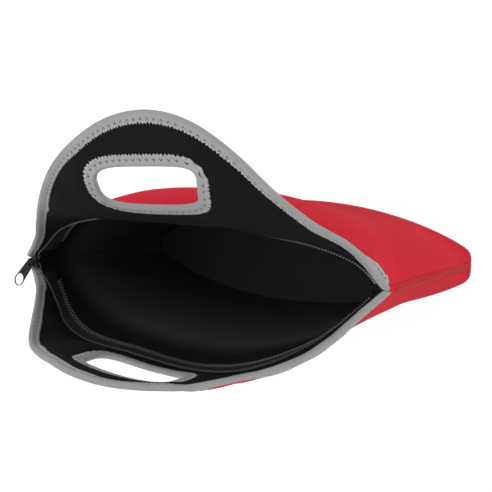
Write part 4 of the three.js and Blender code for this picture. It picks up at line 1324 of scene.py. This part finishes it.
def enamelled_zinc():
    finish = Finish("black_metal", Specular_IOR_Level=0.14, Coat_Weight=0.03, Coat_Roughness=0.3)
    grain = finish.noise(3200.0, 2.0)
    scuffs = finish.clamp(finish.noise(700.0, 4.0), 0.66, 0.8)
    finish.feed("Metallic", 0.1 + scuffs * 0.5)
    shade = finish.blend(scuffs * 0.5, (0.010, 0.010, 0.011, 1), (0.10, 0.10, 0.105, 1))
    return finish.surface(shade, 0.42 + grain * 0.22, finish.bump(grain, 0.00003, 0.5))


finishes.update(
    edge_binding=stretch_binding("edge_binding", edge_needle, edge_width),
    hole_binding=stretch_binding("hole_binding", hole_needle, hole_width),
    zipper_tape=woven_tape(), zipper_coil=nylon(), foam=cell_foam(), black_metal=enamelled_zinc(),
)
for name, color, pale in (
    ("grey_thread", grey(0.32), grey(0.58)),
    ("dark_thread", (0.010, 0.010, 0.011, 1), (0.030, 0.030, 0.031, 1)),
    ("tape_thread", grey(0.12), grey(0.28)),
    ("red_thread", (0.40, 0.008, 0.018, 1), (0.60, 0.020, 0.036, 1)),
):
    finishes[name] = thread_finish(name, color, pale)

cloth_looks = {"skin": "red_knit", "cloth": "black_knit", "foam": "foam", "edge": "edge_binding",
               "hole": "hole_binding", "tape": "zipper_tape", "coil": "zipper_coil",
               "metal": "black_metal"}
thread_looks = {"edge": "grey_thread", "hole": "grey_thread", "tape": "tape_thread",
                "inner": "dark_thread"}
for key, piece in pieces.items():
    if key[-1] == "thread":
        look = thread_looks.get(key[1], "red_thread")
    else:
        look = cloth_looks[key[-1]]
    piece.data.materials.append(finishes[look].material)
print(len(pieces), "pieces dressed in", len(finishes), "finishes")

# %% [markdown]
# The picture was taken in even, soft light on white. The floor and the sky are white to the
# camera and to what reflects them, and a little darker to the tote itself. Three broad lamps
# keep the folds readable: a key behind on the left, a fill in front and one from the side.

# %% Floor, light and background
sky_light = 0.85


def seen_directly(finish):
    """1 for what the camera sees, itself or in a reflection, and 0 for light on the tote."""
    outputs = finish.node("ShaderNodeLightPath").socket.node.outputs
    camera_ray, glossy_ray, through_ray = [
        Wire(finish, outputs[f"Is {kind} Ray"]) for kind in ("Camera", "Glossy", "Transmission")]
    return (camera_ray + glossy_ray + through_ray).math("MINIMUM", 1.0)


bpy.ops.object.select_all(action="DESELECT")
bpy.ops.mesh.primitive_plane_add(size=8, location=(0, 0, -0.0004))
floor = bpy.context.object
floor.name = "floor"
paper = Finish("floor_paper", Roughness=0.9, Specular_IOR_Level=0.0)
paper.shader.inputs["Base Color"].default_value = grey(0.3)
around = paper.node("ShaderNodeBsdfDiffuse", {}, {"Color": grey(0.8)})
glow = paper.node("ShaderNodeEmission", {}, {"Color": grey(1), "Strength": 0.8})
lit = paper.node("ShaderNodeAddShader", {}, {0: Wire(paper, paper.shader.outputs[0]), 1: glow})
shown = paper.node("ShaderNodeMixShader", {}, {0: seen_directly(paper), 1: around, 2: lit})
end = next(node for node in paper.tree.nodes if node.type == "OUTPUT_MATERIAL")
paper.tree.links.new(shown.socket, end.inputs["Surface"])
floor.data.materials.append(paper.material)

sky = Finish("sky", bpy.data.worlds.new("sky"), Color=grey(1))
bpy.context.scene.world = sky.material
sky.feed("Strength", seen_directly(sky) * (1 - sky_light) + sky_light)

for name, place, size, power in (
    ("key", (-0.55, 0.35, 1.15), 1.1, 5.0),
    ("fill", (0.7, -0.9, 0.7), 1.2, 2.5),
    ("side", (1.1, 0.6, 0.5), 1.0, 4.0),
):
    lamp = bpy.data.objects.new(name, bpy.data.lights.new(name, "AREA"))
    bpy.context.scene.collection.objects.link(lamp)
    lamp.location = place
    lamp.rotation_euler = (Vector((0, 0, 0.15)) - lamp.location).to_track_quat("-Z", "Y").to_euler()
    lamp.data.size, lamp.data.energy = size, power
bpy.context.scene.view_settings.view_transform = "Standard"
lamps = [item for item in bpy.context.scene.objects if item.type == "LIGHT"]
print("lit by", len(lamps), "lamps and a white sky")

# %% Update the scene
bpy.context.view_layer.update()
